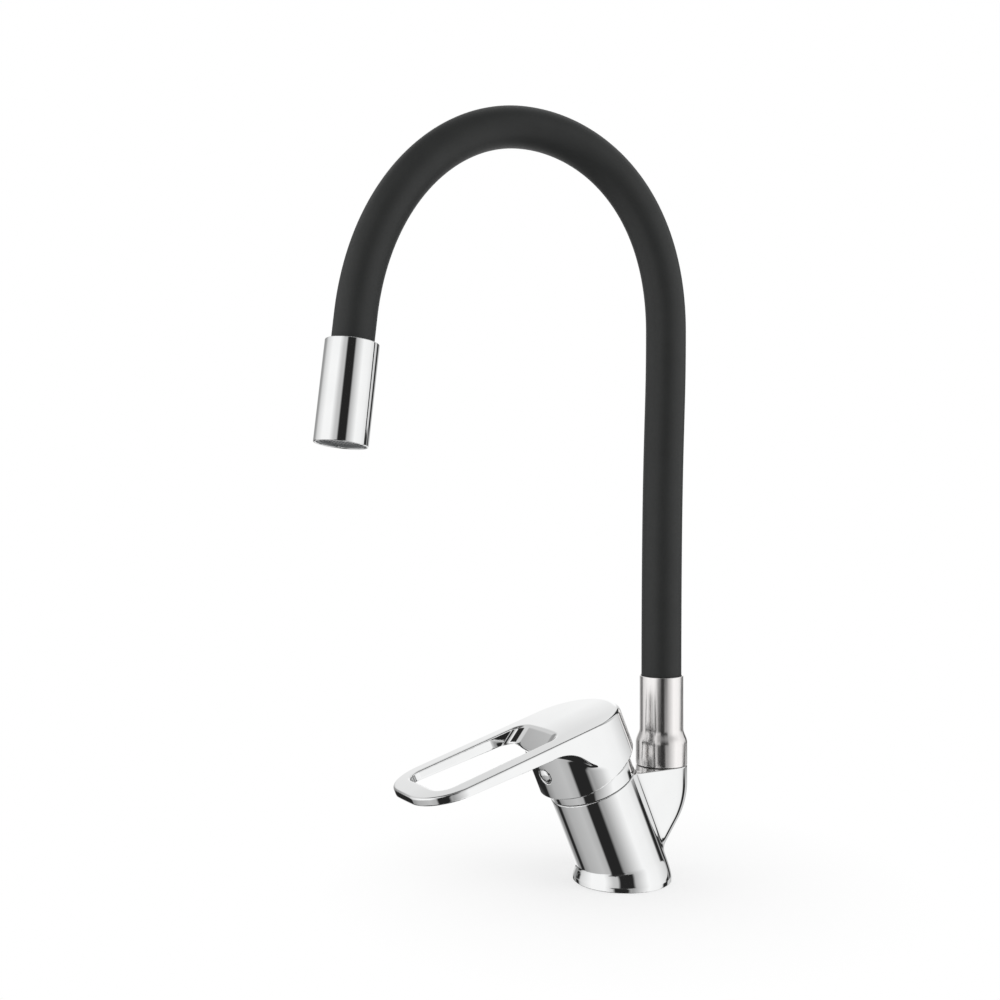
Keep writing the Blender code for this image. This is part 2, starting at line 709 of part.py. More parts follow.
def handle_blank():
    rings = [[Vector((x, -f, SKIRT_FOOT)) for x, f in handle_outline()]]
    middle = (LEVER_REACH - SKIRT_RADIUS) / 2
    plain = handle_outline()
    inner = handle_outline(SKIRT_RADIUS / 2)
    for turn in range(4):
        angle = math.pi / 2 * turn / 3
        ring = []
        for (x, f), (in_x, in_f) in zip(plain, inner):
            edge = edge_at(f)
            share = edge * (1 - math.cos(angle)) / (SKIRT_RADIUS / 2)
            ring.append(
                Vector((x + (in_x - x) * share, -f - (in_f - f) * share,
                        top_at(f) - edge * (1 - math.sin(angle))))
            )
        rings.append(ring)
    for share in (0.6, 0.2):
        ring = []
        for x, f in handle_outline(TOP_EDGE_REAR):
            x, f = x * share, middle + (f - middle) * share
            ring.append(Vector((x, -f, top_at(f) + TOP_CROWN * (1 - share**2))))
        rings.append(ring)
    return skin_rings(bmesh.new(), rings, closed=False)


def under_lever_cut(look, frame):
    """What is taken away under the lever, which leaves the front of the round skirt standing."""
    far = LEVER_REACH + SKIRT_RADIUS
    web_end = WEB_START + WEB_RADIUS
    deep = SKIRT_FOOT - OVERRUN
    middle = (web_end, UNDERSIDE_HEIGHT - WEB_RADIUS)
    web = arc(middle, WEB_RADIUS, math.pi - WEB_FADE_ANGLE, math.pi / 2, 6)
    tip = (far, UNDERSIDE_HEIGHT + UNDERSIDE_SLOPE * (far - web_end))
    outline = [(WEB_FOOT, deep), (WEB_FOOT, WEB_FADE_HEIGHT), *web, tip, (far, deep)]
    half = SKIRT_RADIUS + OVERRUN
    cut = add("cut_under_lever", extruded(outline, -half, half), look, frame)
    top = TOP_HEIGHT + OVERRUN
    keep = rod((0, 0, deep - OVERRUN), (0, 0, top), SKIRT_RADIUS, FINE)
    combine(cut, add("cut_keep_skirt", keep, look, frame), "DIFFERENCE")
    return cut


def rising_foot_cut(look, frame):
    """The slanted lower edge of the skirt, which lets the lever lift."""
    back = SKIRT_RADIUS + OVERRUN
    rise = SKIRT_SLANT * (SKIRT_FLAT_FRONT + back)
    outline = [
        (SKIRT_FLAT_FRONT, SKIRT_FOOT),
        (-back, SKIRT_FOOT + rise),
        (-back, SKIRT_FOOT - OVERRUN),
        (SKIRT_FLAT_FRONT, SKIRT_FOOT - OVERRUN),
    ]
    return add("cut_rising_foot", extruded(outline, -back, back), look, frame)


def slot_outline(start):
    half, corner = SLOT_HALF_WIDTH, SLOT_CORNER_RADIUS
    points = arc((half - corner, SLOT_END - corner), corner, 0, math.pi / 2, 4)
    points += arc((corner - half, SLOT_END - corner), corner, math.pi / 2, math.pi, 4)
    points += arc((corner - half, start + corner), corner, math.pi, 3 * math.pi / 2, 4)
    points += arc((half - corner, start + corner), corner, 3 * math.pi / 2, 2 * math.pi, 4)
    return points


def slot_cut(look, frame):
    """The finger loop. Its end by the skirt is a ramp, so that it stays clear of the skirt's inside."""
    edge = top_at(SLOT_START)
    slope = RAMP_LENGTH / RAMP_DROP
    rings = []
    for height in (edge - RAMP_DROP - OVERRUN, top_at(LEVER_REACH)):
        start = SLOT_START + (edge - height) * slope
        rings.append([Vector((x, -f, height)) for x, f in slot_outline(start)])
    return add("cut_slot", skin_rings(bmesh.new(), rings, closed=False), look, frame)


def toward_index(reach):
    """A point this far from the handle's axis on the line of the plug and the grub screw."""
    return Vector((reach * math.sin(INDEX_TURN), -reach * math.cos(INDEX_TURN), INDEX_HEIGHT))


def handle(look, frame, pin):
    made = add("handle", handle_blank(), look, frame)
    combine(made, under_lever_cut(look, frame), "DIFFERENCE")
    combine(made, rising_foot_cut(look, frame), "DIFFERENCE")
    hollow = turned(
        [
            (SKIRT_RADIUS - SKIRT_WALL, SKIRT_FOOT - OVERRUN),
            (SKIRT_RADIUS - SKIRT_WALL, ROOF_HEIGHT),
            (BOSS_RADIUS, ROOF_HEIGHT),
            (BOSS_RADIUS, BOSS_FOOT),
        ],
        FINE,
        closed=False,
    )
    combine(made, add("cut_hollow", hollow, look, frame), "DIFFERENCE")
    half = STEM_WIDTH / 2 + GAP
    socket = block((-half, -half, BOSS_FOOT - OVERRUN), (half, half, STEM_TOP + GAP))
    combine(made, add("cut_stem_socket", socket, look, frame), "DIFFERENCE")
    combine(made, slot_cut(look, frame), "DIFFERENCE")
    inside = SKIRT_RADIUS - SKIRT_WALL - OVERRUN
    outside = SKIRT_RADIUS + OVERRUN
    eye = rod(toward_index(inside), toward_index(outside), INDEX_RADIUS + GAP, COARSE)
    combine(made, add("cut_index_hole", eye, look, frame), "DIFFERENCE")
    grub = rod(toward_index(0), toward_index(BOSS_RADIUS + OVERRUN), GRUB_RADIUS + GAP, 12)
    combine(made, add("cut_grub_hole", grub, look, frame), "DIFFERENCE")
    hang(made, pin)


def grub_screw(look, frame, pin):
    lean_in = GRUB_RADIUS * math.sin(INDEX_TURN)
    start = (STEM_WIDTH / 2 + lean_in) / math.cos(INDEX_TURN) + GAP
    screw = rod(toward_index(start), toward_index(start + GRUB_LENGTH), GRUB_RADIUS, 10)
    hang(add("handle_grub_screw", screw, look, frame), pin)


def index_cap(look, frame, pin):
    """A domed plug over the grub screw's hole."""
    profile = [(INDEX_RADIUS, 0), (INDEX_RADIUS, INDEX_DEPTH)]
    for share in (0.75, 0.4):
        profile.append((INDEX_RADIUS * share, INDEX_DEPTH + INDEX_DOME * (1 - share**2)))
    cap = turned(profile, COARSE, closed=False)
    cap.transform(Matrix.Rotation(math.pi / 2, 4, "X"))
    cap.transform(Matrix.Rotation(INDEX_TURN, 4, "Z"))
    cap.transform(Matrix.Translation(toward_index(SKIRT_RADIUS - INDEX_DEPTH)))
    hang(add("index_cap", cap, look, frame), pin)


# Spout foot: every piece here stands in the spout's frame, on its upright axis


def glide_washer(look, frame):
    foot = ARM_TOP + GAP
    profile = [
        (SOCKET_RADIUS, foot),
        (NIPPLE_FLANGE_RADIUS, foot),
        (NIPPLE_FLANGE_RADIUS, foot + WASHER_THICKNESS),
        (SOCKET_RADIUS, foot + WASHER_THICKNESS),
    ]
    add("glide_washer", turned(profile, ROUND), look, frame)


def flange_foot():
    return ARM_TOP + GAP + WASHER_THICKNESS + GAP


def groove(height, half, floor):
    return [
        (NIPPLE_RADIUS, height - half),
        (floor, height - half),
        (floor, height + half),
        (NIPPLE_RADIUS, height + half),
    ]


def swivel_nipple(look, frame):
    """Turns in the arm's socket, and carries the cover and the hose."""
    foot = ARM_TOP - SOCKET_DEPTH + GAP
    flange = flange_foot()
    head_top = flange + NIPPLE_FLANGE + NIPPLE_HEAD
    seat = TAIL_RADIUS + GAP
    ring_floor = SOCKET_RADIUS - GAP - ORING_WIDTH - GAP
    clip_floor = NIPPLE_RADIUS - CLIP_REACH - GAP
    profile = [
        (NIPPLE_BORE, foot),
        (NIPPLE_RADIUS, foot),
        *groove(ORING_LOWER, ORING_WIDTH / 2 + GAP, ring_floor),
        *groove(CLIP_HEIGHT, CLIP_THICKNESS / 2 + GAP, clip_floor),
        *groove(ORING_UPPER, ORING_WIDTH / 2 + GAP, ring_floor),
        (NIPPLE_RADIUS, flange),
        (NIPPLE_FLANGE_RADIUS, flange),
        (NIPPLE_FLANGE_RADIUS, flange + NIPPLE_FLANGE),
        (NIPPLE_HEAD_RADIUS, flange + NIPPLE_FLANGE),
        (NIPPLE_HEAD_RADIUS, head_top),
        (seat, head_top),
        (seat, head_top - TAIL_SEAT_DEPTH),
        (NIPPLE_BORE, head_top - TAIL_SEAT_DEPTH),
    ]
    add("swivel_nipple", turned(profile, ROUND), look, frame)


def nipple_orings(look, frame):
    radius = SOCKET_RADIUS - GAP - ORING_WIDTH / 2
    add("nipple_oring_lower", torus(radius, ORING_WIDTH / 2, ORING_LOWER, COARSE), look, frame)
    add("nipple_oring_upper", torus(radius, ORING_WIDTH / 2, ORING_UPPER, COARSE), look, frame)


def retaining_clip(look, frame):
    """An open spring ring, half in the nipple's groove and half in the socket's."""
    inner = NIPPLE_RADIUS - CLIP_REACH
    outer = SOCKET_RADIUS + CLIP_REACH
    low = CLIP_HEIGHT - CLIP_THICKNESS / 2
    high = CLIP_HEIGHT + CLIP_THICKNESS / 2
    steps = 14
    span = 2 * math.pi - CLIP_OPENING
    rings = []
    for i in range(steps + 1):
        angle = CLIP_OPENING / 2 + span * i / steps
        way = Vector((math.cos(angle), math.sin(angle), 0))
        up = Vector((0, 0, 1))
        corners = ((inner, low), (outer, low), (outer, high), (inner, high))
        rings.append([way * radius + up * height for radius, height in corners])
    add("retaining_clip", skin_rings(bmesh.new(), rings, closed=False), look, frame)


def lower_sleeve(look, frame):
    """The bright sleeve at the foot of the hose: wide below, with a soft taper to its neck."""
    neck_foot = COVER_FOOT + COVER_STEP + COVER_TAPER
    step_top = COVER_FOOT + COVER_STEP
    ease = COVER_RADIUS - COVER_NECK_RADIUS
    neck_inner = SKIN_RADIUS + GAP
    profile = [
        (COVER_RADIUS - COVER_WALL, COVER_FOOT),
        (COVER_RADIUS - EDGE, COVER_FOOT),
        (COVER_RADIUS, COVER_FOOT + EDGE),
        (COVER_RADIUS, step_top),
        *[(COVER_RADIUS - ease * x, step_top + COVER_TAPER * z) for x, z in TAPER_SHARES],
        (COVER_NECK_RADIUS, neck_foot),
        (COVER_NECK_RADIUS, COVER_TOP - EDGE),
        (COVER_NECK_RADIUS - EDGE, COVER_TOP),
        (neck_inner, COVER_TOP),
        (neck_inner, neck_foot),
        (COVER_RADIUS - COVER_WALL, step_top),
    ]
    add("lower_sleeve", turned(profile, ROUND), look, frame)


# Route of the hose, in the spout's frame


def bezier(points, share):
    a, b, c, d = points
    rest = 1 - share
    return a * rest**3 + b * 3 * rest**2 * share + c * 3 * rest * share**2 + d * share**3


def head_axis():
    """The way that the water leaves the head."""
    return Vector((math.tan(HEAD_TURN), -math.tan(HEAD_TILT), -1)).normalized()


def head_place():
    return Vector((HEAD_SIDE, -HEAD_REACH, ARCH_TOP_HEIGHT - HEAD_DROP))


def route_curves():
    """The stem, the rise and the fall of the hose. The fall ends at the topmost cup."""
    up = Vector((0, 0, 1))
    forward = Vector((0, -1, 0))
    foot = Vector((0, 0, COVER_TOP - SKIN_SEAT))
    arch_foot = Vector((0, ARCH_FOOT_BACK, ARCH_TOP_HEIGHT - ARCH_RISE))
    top = Vector((0, -ARCH_TOP_REACH, ARCH_TOP_HEIGHT))
    cup = head_place() - head_axis() * TAIL_REACH
    stem = up * (arch_foot - foot).z
    rise_reach = forward * (ARCH_TOP_REACH + ARCH_FOOT_BACK)
    fall_reach = forward * (HEAD_REACH - ARCH_TOP_REACH)
    stem_foot, stem_top = STEM_PULL_SHARES
    rise_foot, rise_top = RISE_PULL_SHARES
    fall_top, fall_foot = FALL_PULL_SHARES
    head_pull = head_axis() * HEAD_DROP * fall_foot
    return [
        (foot, foot + stem * stem_foot, arch_foot - stem * stem_top, arch_foot),
        (arch_foot, arch_foot + up * ARCH_RISE * rise_foot, top - rise_reach * rise_top, top),
        (top, top + fall_reach * fall_top, cup - head_pull, cup),
    ]


class Route:
    """Close points along the hose, with the length up to each of them."""

    def __init__(self):
        steps = 120
        curves = route_curves()
        self.points = [bezier(curve, i / steps) for curve in curves for i in range(steps)]
        self.points.append(curves[-1][3])
        self.points.append(head_place())
        self.points.append(head_place() + head_axis() * (HEAD_CAP + SKIN_SEAT))
        self.lengths = [0.0]
        for a, b in zip(self.points, self.points[1:]):
            self.lengths.append(self.lengths[-1] + (b - a).length)
        self.arch = self.lengths[steps]
        self.cup = self.lengths[-3]
        self.head = self.lengths[-2]
        self.end = self.lengths[-1]

    def at(self, length):
        low = 0
        while low < len(self.points) - 2 and self.lengths[low + 1] < length:
            low += 1
        share = (length - self.lengths[low]) / (self.lengths[low + 1] - self.lengths[low])
        return self.points[low].lerp(self.points[low + 1], share)

    def joints(self):
        """The centres of the gooseneck's joints, far apart in the stem and close in the arch."""
        first = SKIN_SEAT + FIRST_JOINT
        stem_pitch = (self.arch - LAST_STEM_JOINT - first) / (STEM_JOINTS - 1)
        lengths = [first + stem_pitch * i for i in range(STEM_JOINTS)]
        pitch = (self.cup - lengths[-1]) / ARCH_JOINTS
        lengths += [lengths[-1] + pitch * (i + 1) for i in range(ARCH_JOINTS)]
        return [self.at(length) for length in lengths]


def ring_across(centre, way, radius, sides):
    """A ring square to a way along the hose. Its first point keeps to the same side all along."""
    across = (Vector((1, 0, 0)) - way * way.x).normalized()
    third = way.cross(across)
    angles = [2 * math.pi * i / sides for i in range(sides)]
    return [centre + (across * math.cos(a) + third * math.sin(a)) * radius for a in angles]


def hollow_tube(centres, outer, inner, sides):
    """A tube with an open bore through these centres."""
    ways = []
    for i, centre in enumerate(centres):
        before = centres[max(i - 1, 0)]
        after = centres[min(i + 1, len(centres) - 1)]
        ways.append((after - before).normalized())
    outside = [ring_across(c, way, outer, sides) for c, way in zip(centres, ways)]
    inside = [ring_across(c, way, inner, sides) for c, way in zip(centres, ways)]
    return skin_rings(bmesh.new(), outside + inside[::-1], closed=True)


def silicone_sleeve(look, frame, route):
    stem = [route.arch * i / SKIN_STEM_RINGS for i in range(SKIN_STEM_RINGS)]
    pitch = (route.end - route.arch) / (SKIN_ARCH_RINGS - 1)
    lengths = stem + [route.arch + pitch * i for i in range(SKIN_ARCH_RINGS)]
    centres = [route.at(length) for length in lengths]
    tube = hollow_tube(centres, SKIN_RADIUS, SKIN_BORE, SKIN_SIDES)
    add("silicone_sleeve", tube, look, frame)


def water_hose(look, frame, route):
    """Runs inside the gooseneck, bent at its joints like the links round it."""
    centres = [route.at(0), *route.joints(), head_place()]
    tube = hollow_tube(centres, WATER_RADIUS, WATER_BORE, WATER_SIDES)
    add("water_hose", tube, look, frame)


# Gooseneck: hollow links, each a cup below and a ball above


def cup_outside():
    """The lower end of a link, from its rim over the outside to the neck."""
    return arc((0, 0), CUP_RADIUS, 0, math.acos(LINK_NECK_RADIUS / CUP_RADIUS), 3)


def cup_inside():
    """The seat for the next ball, from the bore back to the rim."""
    return arc((0, 0), CUP_BORE, math.acos(LINK_BORE / CUP_BORE), 0, 3)


def ball(height):
    """The upper end of a link, from the neck over the ball and its wide mouth to the bore."""
    neck = -math.acos(LINK_NECK_RADIUS / BALL_RADIUS)
    mouth = math.acos(BALL_MOUTH / BALL_RADIUS)
    return arc((0, height), BALL_RADIUS, neck, mouth, 4) + [(LINK_BORE, height)]


def aim(start, end):
    """A frame at start with Z towards end and X kept to the side."""
    way = (end - start).normalized()
    across = (Vector((1, 0, 0)) - way * way.x).normalized()
    turn = Matrix((across, way.cross(across), way)).transposed().to_4x4()
    return Matrix.Translation(start) @ turn


def gooseneck(look, frame, route):
    """The chain of links. It returns the empty on the topmost joint, which carries the head."""
    joints = route.joints() + [head_place()]
    below = Matrix.Identity(4)
    for number, (start, end) in enumerate(zip(joints, joints[1:]), 1):
        place = aim(start, end)
        frame = empty(f"joint_{number:02d}", frame, below.inverted() @ place)
        below = place
        if number < len(joints) - 1:
            profile = cup_outside() + ball((end - start).length) + cup_inside()
            add(f"gooseneck_link_{number:02d}", turned(profile, LINK_SIDES), look, frame)
    return frame


def lower_hose_tail(look, frame, route):
    """Screws into the nipple, and carries the lowest ball of the gooseneck."""
    centre = route.joints()[0].z
    nipple_top = flange_foot() + NIPPLE_FLANGE + NIPPLE_HEAD
    foot = nipple_top - TAIL_SEAT_DEPTH + GAP
    collar_foot = nipple_top + GAP
    collar_top = centre - CUP_RADIUS - OVERRUN
    collar = SKIN_BORE - GAP
    profile = [
        (LINK_BORE, foot),
        (TAIL_RADIUS, foot),
        (TAIL_RADIUS, collar_foot),
        (collar, collar_foot),
        (collar, collar_top),
        (LINK_NECK_RADIUS, collar_top),
        *ball(centre),
    ]
    add("lower_hose_tail", turned(profile, ROUND), look, frame)


def upper_hose_tail(look, frame):
    """Carries the topmost cup of the gooseneck, and screws into the head."""
    flange = TAIL_REACH + HEAD_CAP + SKIN_SEAT + GAP
    flange_radius = HEAD_RADIUS - HEAD_WALL - GAP
    profile = [
        *cup_outside(),
        (LINK_NECK_RADIUS, flange),
        (flange_radius, flange),
        (flange_radius, flange + TAIL_FLANGE),
        (LINK_BORE, flange + TAIL_FLANGE),
        *cup_inside(),
    ]
    add("upper_hose_tail", turned(profile, ROUND), look, frame)


# Head: every piece here stands in the head's frame, with Z from its top down to its outlet


def head_shell(look, frame):
    inner = HEAD_RADIUS - HEAD_WALL
    hole = SKIN_RADIUS + GAP
    profile = [
        (HEAD_RADIUS - EDGE, 0),
        (HEAD_RADIUS, EDGE),
        (HEAD_RADIUS, HEAD_LENGTH - EDGE),
        (HEAD_RADIUS - EDGE, HEAD_LENGTH),
        (inner, HEAD_LENGTH),
        (inner, HEAD_CAP),
        (hole, HEAD_CAP),
        (hole, 0),
    ]
    add("head_shell", turned(profile, ROUND), look, frame)


def aerator_housing(look, frame):
    outlet = HEAD_LENGTH - AERATOR_SHY
    foot = outlet - AERATOR_LENGTH
    outer = HEAD_RADIUS - HEAD_WALL - GAP
    inner = outer - AERATOR_WALL
    profile = [(outer, foot), (outer, outlet), (inner, outlet), (inner, foot)]
    housing = add("aerator_housing", turned(profile, ROUND), look, frame)
    half = NOTCH_WIDTH / 2
    for side, word in ((-1, "left"), (1, "right")):
        near, far = sorted((side * (inner - OVERRUN), side * (outer + OVERRUN)))
        notch = block((near, -half, outlet - NOTCH_DEPTH), (far, half, outlet + OVERRUN))
        combine(housing, add("cut_notch_" + word, notch, look, frame), "DIFFERENCE")


def aerator_seal(look, frame):
    top = HEAD_LENGTH - AERATOR_SHY - AERATOR_LENGTH - GAP
    outer = HEAD_RADIUS - HEAD_WALL - GAP
    inner = outer - AERATOR_WALL - AERATOR_SEAL
    foot = top - AERATOR_SEAL
    profile = [(outer, foot), (outer, top), (inner, top), (inner, foot)]
    add("aerator_seal", turned(profile, ROUND), look, frame)


def flow_insert(look, frame):
    """The perforated disc that the water leaves through."""
    top = HEAD_LENGTH - AERATOR_SHY - INSERT_SHY
    foot = top - INSERT_THICKNESS
    radius = HEAD_RADIUS - HEAD_WALL - GAP - AERATOR_WALL - GAP
    disc = turned([(radius, foot), (radius, top)], ROUND, closed=False)
    insert = add("flow_insert", disc, look, frame)
    places = [(INSERT_RING_RADIUS, i / INSERT_HOLES) for i in range(INSERT_HOLES)]
    places += [(INSERT_RING_RADIUS / 2, i / INNER_HOLES) for i in range(INNER_HOLES)]
    for i, (radius, share) in enumerate(places):
        x = radius * math.cos(2 * math.pi * share)
        y = radius * math.sin(2 * math.pi * share)
        hole = rod((x, y, foot - OVERRUN), (x, y, top + OVERRUN), INSERT_HOLE_RADIUS, 6)
        combine(insert, add(f"cut_flow_{i}", hole, look, frame), "DIFFERENCE")


def main():
    clear_scene()
    chrome = finish("chrome", (0.83, 0.84, 0.85), 0.05, 1)
    satin = finish("satin_steel", (0.70, 0.69, 0.68), 0.28, 1)
    brass = finish("brass", (0.72, 0.56, 0.28), 0.35, 1)
    steel = finish("steel", (0.60, 0.61, 0.62), 0.30, 1)
    rubber = finish("black_rubber", (0.03, 0.03, 0.032), 0.6, 0)
    silicone = finish("black_silicone", (0.035, 0.038, 0.040), 0.5, 0)
    ceramic = finish("ceramic", (0.85, 0.84, 0.80), 0.25, 0)
    plastic = finish("white_plastic", (0.80, 0.80, 0.78), 0.45, 0)
    grey = finish("grey_plastic", (0.30, 0.31, 0.32), 0.45, 0)

    mixer_body(chrome)
    base_gasket(rubber)
    lean = empty("leaning_axis", None, LEAN_PLACE)
    cartridge_base(plastic, lean)
    port_seals(rubber, lean)
    fixed_disc(ceramic, lean)
    cartridge_shell(plastic, lean)
    cartridge_nut(brass, lean)
    trim_ring(chrome, lean)
    moving_disc(ceramic, lean)
    cartridge_carrier(grey, lean)
    stem_pin(steel, lean)
    pin = empty("lever_pin_axis", lean, Matrix.Translation((0, 0, PIN_HEIGHT)))
    lever_stem(steel, lean, pin)
    handle(chrome, lean, pin)
    grub_screw(steel, lean, pin)
    index_cap(chrome, lean, pin)

    spout = empty("spout_axis", None, SPOUT_PLACE)
    route = Route()
    glide_washer(plastic, spout)
    swivel_nipple(brass, spout)
    nipple_orings(rubber, spout)
    retaining_clip(steel, spout)
    lower_sleeve(satin, spout)
    lower_hose_tail(brass, spout, route)
    silicone_sleeve(silicone, spout, route)
    water_hose(plastic, spout, route)
    top_joint = gooseneck(steel, spout, route)
    upper_hose_tail(brass, top_joint)

    head = empty("head_axis", top_joint, Matrix.Translation((0, 0, TAIL_REACH)))
    head_shell(chrome, head)
    aerator_housing(grey, head)
    aerator_seal(rubber, head)
    flow_insert(grey, head)


main()
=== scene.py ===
import json
import math

import bmesh
import bpy
import numpy as np
from mathutils import Matrix, Vector


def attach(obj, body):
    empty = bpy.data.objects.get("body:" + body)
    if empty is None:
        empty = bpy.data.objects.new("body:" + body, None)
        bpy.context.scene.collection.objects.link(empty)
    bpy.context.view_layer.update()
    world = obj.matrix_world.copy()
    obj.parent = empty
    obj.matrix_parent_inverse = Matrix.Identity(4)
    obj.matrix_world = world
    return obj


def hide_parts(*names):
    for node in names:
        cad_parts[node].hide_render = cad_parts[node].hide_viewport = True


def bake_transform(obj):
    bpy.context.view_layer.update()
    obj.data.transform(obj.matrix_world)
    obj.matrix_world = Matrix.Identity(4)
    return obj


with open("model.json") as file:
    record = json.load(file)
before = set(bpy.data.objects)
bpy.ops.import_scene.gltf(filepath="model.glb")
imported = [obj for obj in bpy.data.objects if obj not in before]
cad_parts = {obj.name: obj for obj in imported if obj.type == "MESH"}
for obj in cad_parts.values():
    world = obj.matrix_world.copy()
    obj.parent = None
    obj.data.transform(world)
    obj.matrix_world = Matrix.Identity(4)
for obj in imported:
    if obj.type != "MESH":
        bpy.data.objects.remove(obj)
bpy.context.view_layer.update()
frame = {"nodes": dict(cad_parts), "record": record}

# Sizes of the CAD model, in metres
LEAN = math.radians(23.15)
BODY_BACK = 0.0036
BODY_LENGTH = 0.0574
SPOUT_BACK = 0.026
SPOUT_SWING = math.radians(11.5)
COVER_FOOT = 0.0580
COVER_TOP = 0.1054
SKIN_RADIUS = 0.0107
SKIN_SEAT = 0.0090
HEAD_PLACE = Vector((0.0060, -0.1699, 0.2768))
HEAD_TILT = math.radians(7.4)
HEAD_TURN = math.radians(4.5)
HEAD_LENGTH = 0.0509
HEAD_RADIUS = 0.01365
TAIL_REACH = 0.0140
SKIN_IN_HEAD = 0.011
ARCH_FOOT = Vector((0, 0.0027, 0.2903))
ARCH_TOP = Vector((0, -0.0797, 0.3927))
FIRST_JOINT = 0.0135
STEM_JOINTS = 5
STEM_PITCH = 0.0415
ARCH_JOINTS = 12
HOSE_RADIUS = 0.0034
INDEX_TURN = math.radians(10)
LEAN_PLACE = Matrix.Translation((0, BODY_BACK, 0)) @ Matrix.Rotation(LEAN, 4, "X")
SPOUT_PLACE = Matrix.Translation((0, SPOUT_BACK, 0)) @ Matrix.Rotation(-SPOUT_SWING, 4, "Z")


# Camera, as the photograph was taken


def make_camera():
    data = bpy.data.cameras.new("camera")
    data.lens = 44.5
    data.sensor_width = 36
    data.clip_start = 0.01
    camera = bpy.data.objects.new("camera", data)
    camera.location = (0.5332, -0.3822, 0.1997)
    camera.rotation_euler = (math.radians(90), 0, math.radians(60))
    bpy.context.scene.collection.objects.link(camera)
    bpy.context.scene.camera = camera


make_camera()


# Materials


class Tree:
    """Short calls for building a node tree."""

    def __init__(self, tree):
        self.tree = tree

    def node(self, kind, **settings):
        made = self.tree.nodes.new(kind)
        inputs = settings.pop("inputs", {})
        for key, value in settings.items():
            setattr(made, key, value)
        for key, value in inputs.items():
            if hasattr(value, "is_linked"):
                self.link(value, made.inputs[key])
            else:
                made.inputs[key].default_value = value
        return made

    def link(self, output, socket):
        self.tree.links.new(output, socket)

    def math(self, operation, *values):
        made = self.node("ShaderNodeMath", operation=operation)
        for i, value in enumerate(values):
            if hasattr(value, "is_linked"):
                self.link(value, made.inputs[i])
            else:
                made.inputs[i].default_value = value
        return made.outputs[0]

    def ramp(self, factor, stops):
        made = self.node("ShaderNodeValToRGB")
        elements = made.color_ramp.elements
        while len(elements) > 1:
            elements.remove(elements[-1])
        for i, (place, color) in enumerate(stops):
            stop = elements[0] if i == 0 else elements.new(place)
            stop.position = place
            stop.color = (*color, 1)
        self.link(factor, made.inputs[0])
        return made.outputs[0]


# How fine the haze on polished metal is, and how deep a full grain is, in metres
HAZE_SCALE = 180.0
GRAIN_DEPTH = 0.0001


def grey(value):
    return (value, value, value)


def new_material(name):
    material = bpy.data.materials.new(name)
    material.use_nodes = True
    tree = Tree(material.node_tree)
    shader = material.node_tree.nodes["Principled BSDF"]
    place = tree.node("ShaderNodeTexCoord").outputs["Object"]
    return material, tree, shader, place


def speckle(tree, place, scale, detail=4.0, stretch=(1, 1, 1)):
    mapped = tree.node("ShaderNodeMapping", inputs={"Vector": place, "Scale": stretch})
    noise = tree.node(
        "ShaderNodeTexNoise", inputs={"Vector": mapped.outputs[0], "Scale": scale, "Detail": detail}
    )
    return noise.outputs["Fac"]


def bump(tree, height, strength, distance):
    made = tree.node(
        "ShaderNodeBump", inputs={"Height": height, "Strength": strength, "Distance": distance}
    )
    return made.outputs[0]


def metal(name, color, roughness, spread, grain=0.0):
    """A metal whose polish varies a little from place to place."""
    material, tree, shader, place = new_material(name)
    haze = speckle(tree, place, HAZE_SCALE, 5.0)
    stops = [(0.30, grey(roughness)), (0.75, grey(roughness + spread))]
    tree.link(tree.ramp(haze, stops), shader.inputs["Roughness"])
    shade = [(0.3, tuple(c * 0.97 for c in color)), (0.7, color)]
    tree.link(tree.ramp(speckle(tree, place, 60.0), shade), shader.inputs["Base Color"])
    shader.inputs["Metallic"].default_value = 1
    if grain:
        fine = speckle(tree, place, HAZE_SCALE * 6, 3.0)
        tree.link(bump(tree, fine, grain, GRAIN_DEPTH), shader.inputs["Normal"])
    return material


def plain(name, color, roughness, spread, scale=400.0, depth=0.15, specular=0.5):
    """Plastic, rubber or ceramic with a fine moulded grain."""
    material, tree, shader, place = new_material(name)
    fine = speckle(tree, place, scale, 6.0)
    cloud = speckle(tree, place, scale / 12)
    stops = [(0.25, tuple(c * 0.9 for c in color)), (0.8, tuple(min(1, c * 1.08) for c in color))]
    tree.link(tree.ramp(cloud, stops), shader.inputs["Base Color"])
    rough = [(0.3, grey(roughness)), (0.7, grey(roughness + spread))]
    tree.link(tree.ramp(fine, rough), shader.inputs["Roughness"])
    tree.link(bump(tree, fine, depth, GRAIN_DEPTH), shader.inputs["Normal"])
    shader.inputs["Specular IOR Level"].default_value = specular
    return material


def brushed(name, color):
    """Steel brushed round the sleeve, with fine lines that run round its axis."""
    material, tree, shader, place = new_material(name)
    lines = speckle(tree, place, 90.0, 8.0, (1, 1, 60))
    stops = [(0.2, tuple(c * 0.95 for c in color)), (0.8, color)]
    tree.link(tree.ramp(lines, stops), shader.inputs["Base Color"])
    rough = [(0.3, grey(0.19)), (0.7, grey(0.22))]
    tree.link(tree.ramp(lines, rough), shader.inputs["Roughness"])
    along = tree.node("ShaderNodeTangent", direction_type="RADIAL", axis="Z")
    tree.link(along.outputs[0], shader.inputs["Tangent"])
    shader.inputs["Anisotropic Rotation"].default_value = 0.25
    tree.link(bump(tree, lines, 0.012, GRAIN_DEPTH), shader.inputs["Normal"])
    shader.inputs["Metallic"].default_value = 1
    shader.inputs["Anisotropic"].default_value = 0.95
    return material


